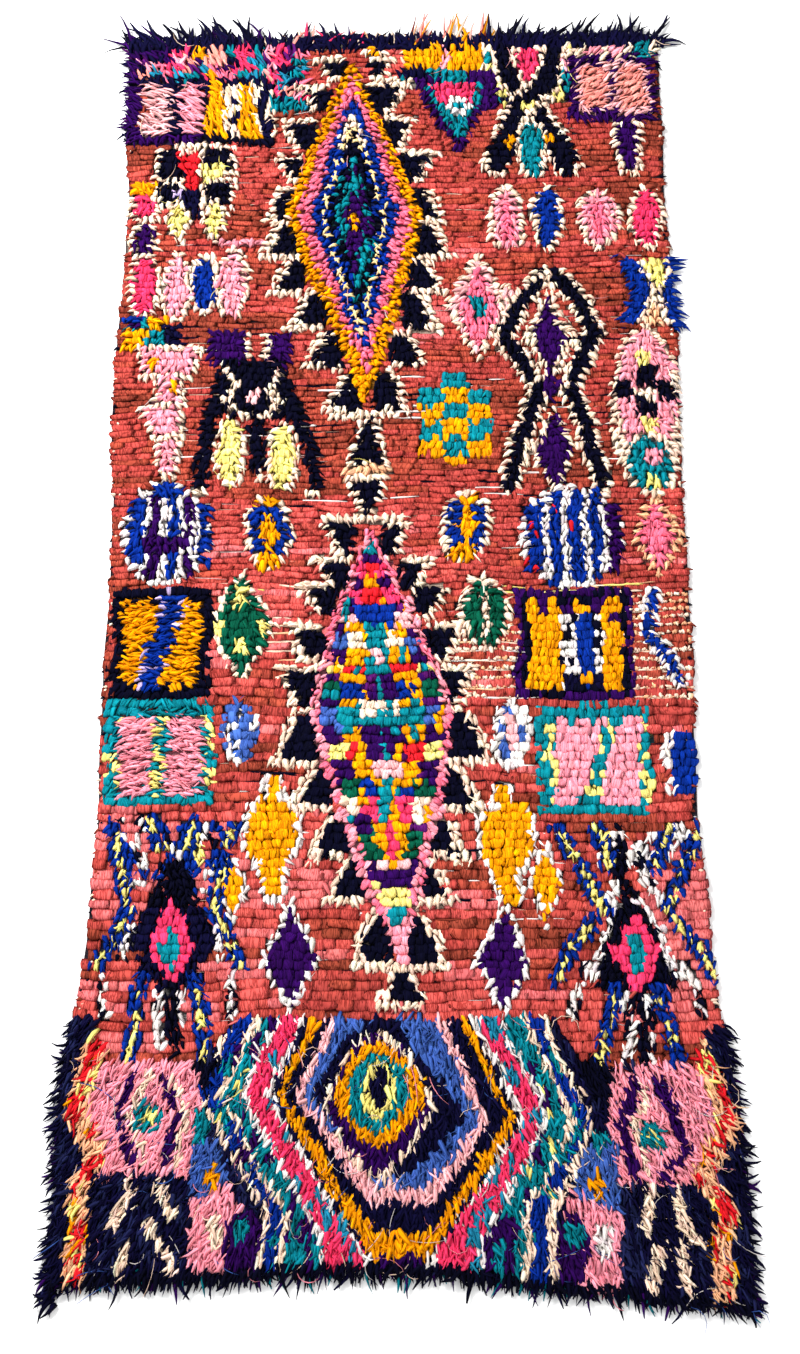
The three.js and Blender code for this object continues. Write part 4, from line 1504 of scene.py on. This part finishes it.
edgeTufts = {
    "columns": ("side", "from", "to", "every", "dyes", "length", "heading", "spread", "width", "base"),
    "rows": (  # places in centimetres along the side; every and length in centimetres, width in millimetres
        ("high", -57, -29, 0.55, "navy black purple", 5.2, 188, 22, 8, 3),
        ("high", -57, -29, 0.9, "navy black navy purple", 8.4, 190, 20, 10, 6),
        ("high", -30, -8, 0.7, "navy purple black cream", 4.8, 182, 22, 8, 3),
        ("high", -24, -8, 1.2, "salmon coral hotPink navy", 6.6, 178, 24, 9, 5),
        ("high", -8, 20, 0.7, "navy black cream peach", 4.4, 180, 24, 7, 3),
        ("high", 1, 19, 0.7, "mustard peach salmon cream brown", 7.4, 176, 28, 7, 5),
        ("high", 19, 56, 0.55, "black navy", 5.2, 172, 22, 8, 3),
        ("high", 19, 54, 0.9, "black black navy", 7.2, 172, 22, 9, 6),
        ("low", -63, 64, 0.36, "black navy navy purple", 4.2, 0, 28, 6.2, 3),
        ("low", -63, 64, 1.40, "black navy purple", 5.6, 0, 30, 8.5, 8),
        ("low", -63, 64, 0.66, "black navy slate teal purple", 4.8, 0, 30, 7.6, 7),
        ("left", 103, 128, 0.6, "purple navy plum", 3.2, -100, 20, 7, 4),
        ("left", -130, -79, 0.46, "navy black navy purple", 3.6, -50, 18, 7, 3),
        ("left", -130, -79, 0.50, "navy black navy", 4.0, -44, 20, 7, 8),
        ("right", -131, -80, 0.46, "navy black navy purple", 4.0, 54, 18, 7, 3),
        ("right", -131, -80, 0.50, "navy black navy", 4.2, 48, 20, 7, 8),
        ("right", 61, 77, 0.40, "cobalt", 3.6, 78, 16, 8, 6),
        ("left", -79, 103, 0.9, "brown black brown rust cream", 1.4, -70, 26, 7, 2.4),
        ("right", -80, 128, 0.9, "brown black brown rust cream", 1.6, 70, 26, 7, 2.4),
    ),
    "root": 0.016,  # how far inside the edge they start
    "lean": 0.5,  # degrees more lean outwards for each centimetre from the middle, at the two ends
    "seed": 301,
}


def placeEdgeTufts(*sides):
    rng = np.random.default_rng(edgeTufts["seed"])
    found = []
    for one in (dict(zip(edgeTufts["columns"], row)) for row in edgeTufts["rows"] if row[0] in sides):
        count = int((one["to"] - one["from"]) / one["every"])
        place = (np.linspace(one["from"], one["to"], count) + one["every"] * (rng.random(count) - 0.5)) / 100
        edge = np.interp(place, *outline[one["side"]])
        inner = edge - np.sign(edge) * edgeTufts["root"] * (0.6 + 0.8 * rng.random(count))
        ends = one["side"] in ("low", "high")
        outward = edgeTufts["lean"] * 100 * place * (1 if one["side"] == "low" else -1) * ends
        dye = rng.choice(numbersOf(one["dyes"].split()), count)
        tone = 1 + 0.16 * rng.standard_normal((count, 1))
        found.append({
            "x": place if ends else inner,
            "y": inner if ends else place,
            "width": 0.001 * one["width"] * (0.7 + 0.6 * rng.random(count)),
            "length": 0.01 * one["length"] * (0.55 + 0.75 * rng.random(count)),
            "heading": one["heading"] + outward + one["spread"] * rng.standard_normal(count),
            "curl": 34 * rng.standard_normal(count),
            "base": 0.001 * one["base"] * (0.6 + 0.6 * rng.random(count)),
            "lift": 0.004 + 0.004 * rng.random(count),
            "body": 0.0026 + 0.0022 * rng.random(count),
            "roll": 0.0008 * rng.standard_normal(count),
            "point": rng.uniform(0.25, 0.92, count),
            "tint": np.clip(dyeTable[dye] * np.clip(tone, 0.6, 1.5), 0, 1),
        })
    return joined(found)


highFringe = addRags("high_fringe", "spike", placeEdgeTufts("high"), 206, fringeYarn)
lowFringe = addRags("low_fringe", "spike", placeEdgeTufts("low"), 207, fringeYarn)
addRags("side_tufts", "spike", placeEdgeTufts("left", "right"), 208, ragPile)

threads = {  # lengths in centimetres, width and base in millimetres
    "columns": ("laid", "mask", "count", "dyes", "length", "heading", "spread", "curl", "width", "base"),
    "runs": (  # left, right, low, high in centimetres, how many, dyes and length
        (22, 58, 4.0, 6.6, 26, "cream yellow peach", 6.5),
        (-28, -17, 3.6, 6.6, 6, "yellow cream", 6.0),
        (8, 24, -18, -3, 64, "cream peach white", 5.5),
        (45, 58, -18, 2, 74, "cream peach cream", 5.5),
        (-27, -17, -9, 0, 18, "cream peach", 5.0),
        (-55, 56, 22, 62, 90, "black brown black white", 7.0),
        (-30, 30, -60, -28, 34, "black brown white", 8.0),
    ),
    "seed": 311,
}


def strewThreads():
    # thin runs of weft in the gaps between rows, and stray ends lying on the motifs and the panel
    rng = np.random.default_rng(threads["seed"])
    inner = isGround & (np.abs(groundTufts["x"]) < 0.50)
    across, up = 100 * groundTufts["x"], 100 * groundTufts["y"]
    rows = [
        (groundTufts, inner, 300, "black black white cream navy", 6.5, 90, 3, 6, 1.5, 7.0),
        (tufts, isLeaf & (tufts["y"] > 0.2), 30, "cream white palePink yellow", 4.6, 10, 60, 90, 1.5, 15),
        (tufts, isShag, 190, "cream navy pink white periwinkle", 6.0, 20, 60, 110, 1.7, 21),
    ]
    for left, right, low, high, *what in threads["runs"]:
        inside = inner & (across > left) & (across < right) & (up > low) & (up < high)
        rows.append((groundTufts, inside, *what, 90, 1.5, 4, 5.0, 8.2))
    found = []
    for one in (dict(zip(threads["columns"], row)) for row in rows):
        picked = rng.choice(np.flatnonzero(one["mask"]), one["count"])
        x, y, pitch, slope = (one["laid"][key][picked] for key in ("x", "y", "pitch", "slope"))
        count = len(picked)
        along = one["heading"] == 90
        dye = rng.choice(numbersOf(one["dyes"].split()), count)
        follow = along * np.degrees(np.arctan(slope))
        found.append({
            "x": x - 0.005 * one["length"] * along,
            "y": y - 0.60 * pitch,
            "width": 0.001 * one["width"] * (0.7 + 0.6 * rng.random(count)),
            "length": 0.01 * one["length"] * (0.4 + 1.1 * rng.random(count)),
            "heading": one["heading"] + one["spread"] * rng.standard_normal(count) + follow,
            "curl": one["curl"] * rng.standard_normal(count),
            "base": 0.001 * one["base"] * (0.9 + 0.2 * rng.random(count)),
            "lift": 0.0004 + 0.0012 * rng.random(count),
            "body": 0.0012 + 0.0006 * rng.random(count),
            "roll": np.zeros(count),
            "point": np.full(count, 0.3),
            "tint": dyeTable[dye],
        })
    return joined(found)


addRags("stray_threads", "thread", strewThreads(), 209, fringeYarn)

# the woven ground

weave = {
    "step": 0.0150, "under": 0.0006, "over": 0.0040, "inset": 0.003, "width": 1.16,
    "dim": 0.8,  # how light the knots show on the underside
    "bakeSize": (1.4, 2.8),  # what the bake sheet has room for, in metres
}


def addWeave():
    # a closed sheet: rows run from the low to the high edge, columns from the left to the right one
    lines, columns = int((highMean - lowMean) / weave["step"]), int(weave["width"] / weave["step"])
    share = np.linspace(0, 1, lines + 1)[:, None]
    u = np.linspace(-1, 1, columns + 1)[None, :]
    middleY = lowMean + (highMean - lowMean) * share
    left = np.interp(middleY, *outline["left"]) + weave["inset"]
    right = np.interp(middleY, *outline["right"]) - weave["inset"]
    x = (left + right) / 2 + u * (right - left) / 2
    y = middleY + (1 - share) ** 4 * (lowEdge(x) - lowMean + weave["inset"])
    y = y + share ** 4 * (highEdge(x) - highMean - weave["inset"])
    points = np.concatenate([np.stack([x, y, np.full(x.shape, z)], -1).reshape(-1, 3)
                             for z in (weave["under"], weave["over"])])
    index = np.arange(x.size).reshape(x.shape)
    a, b, c, d = index[:-1, :-1], index[:-1, 1:], index[1:, 1:], index[1:, :-1]
    under = np.stack([a, d, c, b], -1).reshape(-1, 4)
    over = np.stack([a, b, c, d], -1).reshape(-1, 4) + x.size
    edge = np.concatenate([index[0, :-1], index[:-1, -1], index[-1, :0:-1], index[:0:-1, 0]])
    after = np.roll(edge, -1)
    quads = np.concatenate([under, over, np.stack([edge, after, after + x.size, edge + x.size], -1)])
    cells = chart.cellOf(points[:, 0], points[:, 1])
    tint = dyeTable[chart.dye[cells]] * weave["dim"]
    shadedTop = np.arange(len(points)) >= x.size
    # the weave's top shows only in the gaps between rags and is painted shade there: half the knots' colour
    # under a motif, near black elsewhere
    tint[shadedTop] = np.where(motif[cells][shadedTop][:, None], 0.5 * tint[shadedTop], dyeTable[dyeNames.index("gapShade")])
    sheet = (points[:, :2] / weave["bakeSize"] + 0.5) * (0.49, 1.0)
    sheet[x.size:, 0] += 0.5
    totals = np.full(len(quads), 4)
    return addPiece("ground_weave", points, quads.ravel(), totals, groundWeave, tint, points,
                    sheet[quads.ravel()], False)


weaveSheet = addWeave()
print("ground weave made")


def addFloor():
    half = light["floorSize"] / 2
    mesh = bpy.data.meshes.new("floor")
    corners = [(-half, -half, 0), (half, -half, 0), (half, half, 0), (-half, half, 0)]
    mesh.from_pydata(corners, [], [(0, 1, 2, 3)])
    mesh.materials.append(floorFinish())
    addObject("floor", mesh)


addFloor()

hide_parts("rug_body")
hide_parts("fringe_high_end")
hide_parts("fringe_low_end")
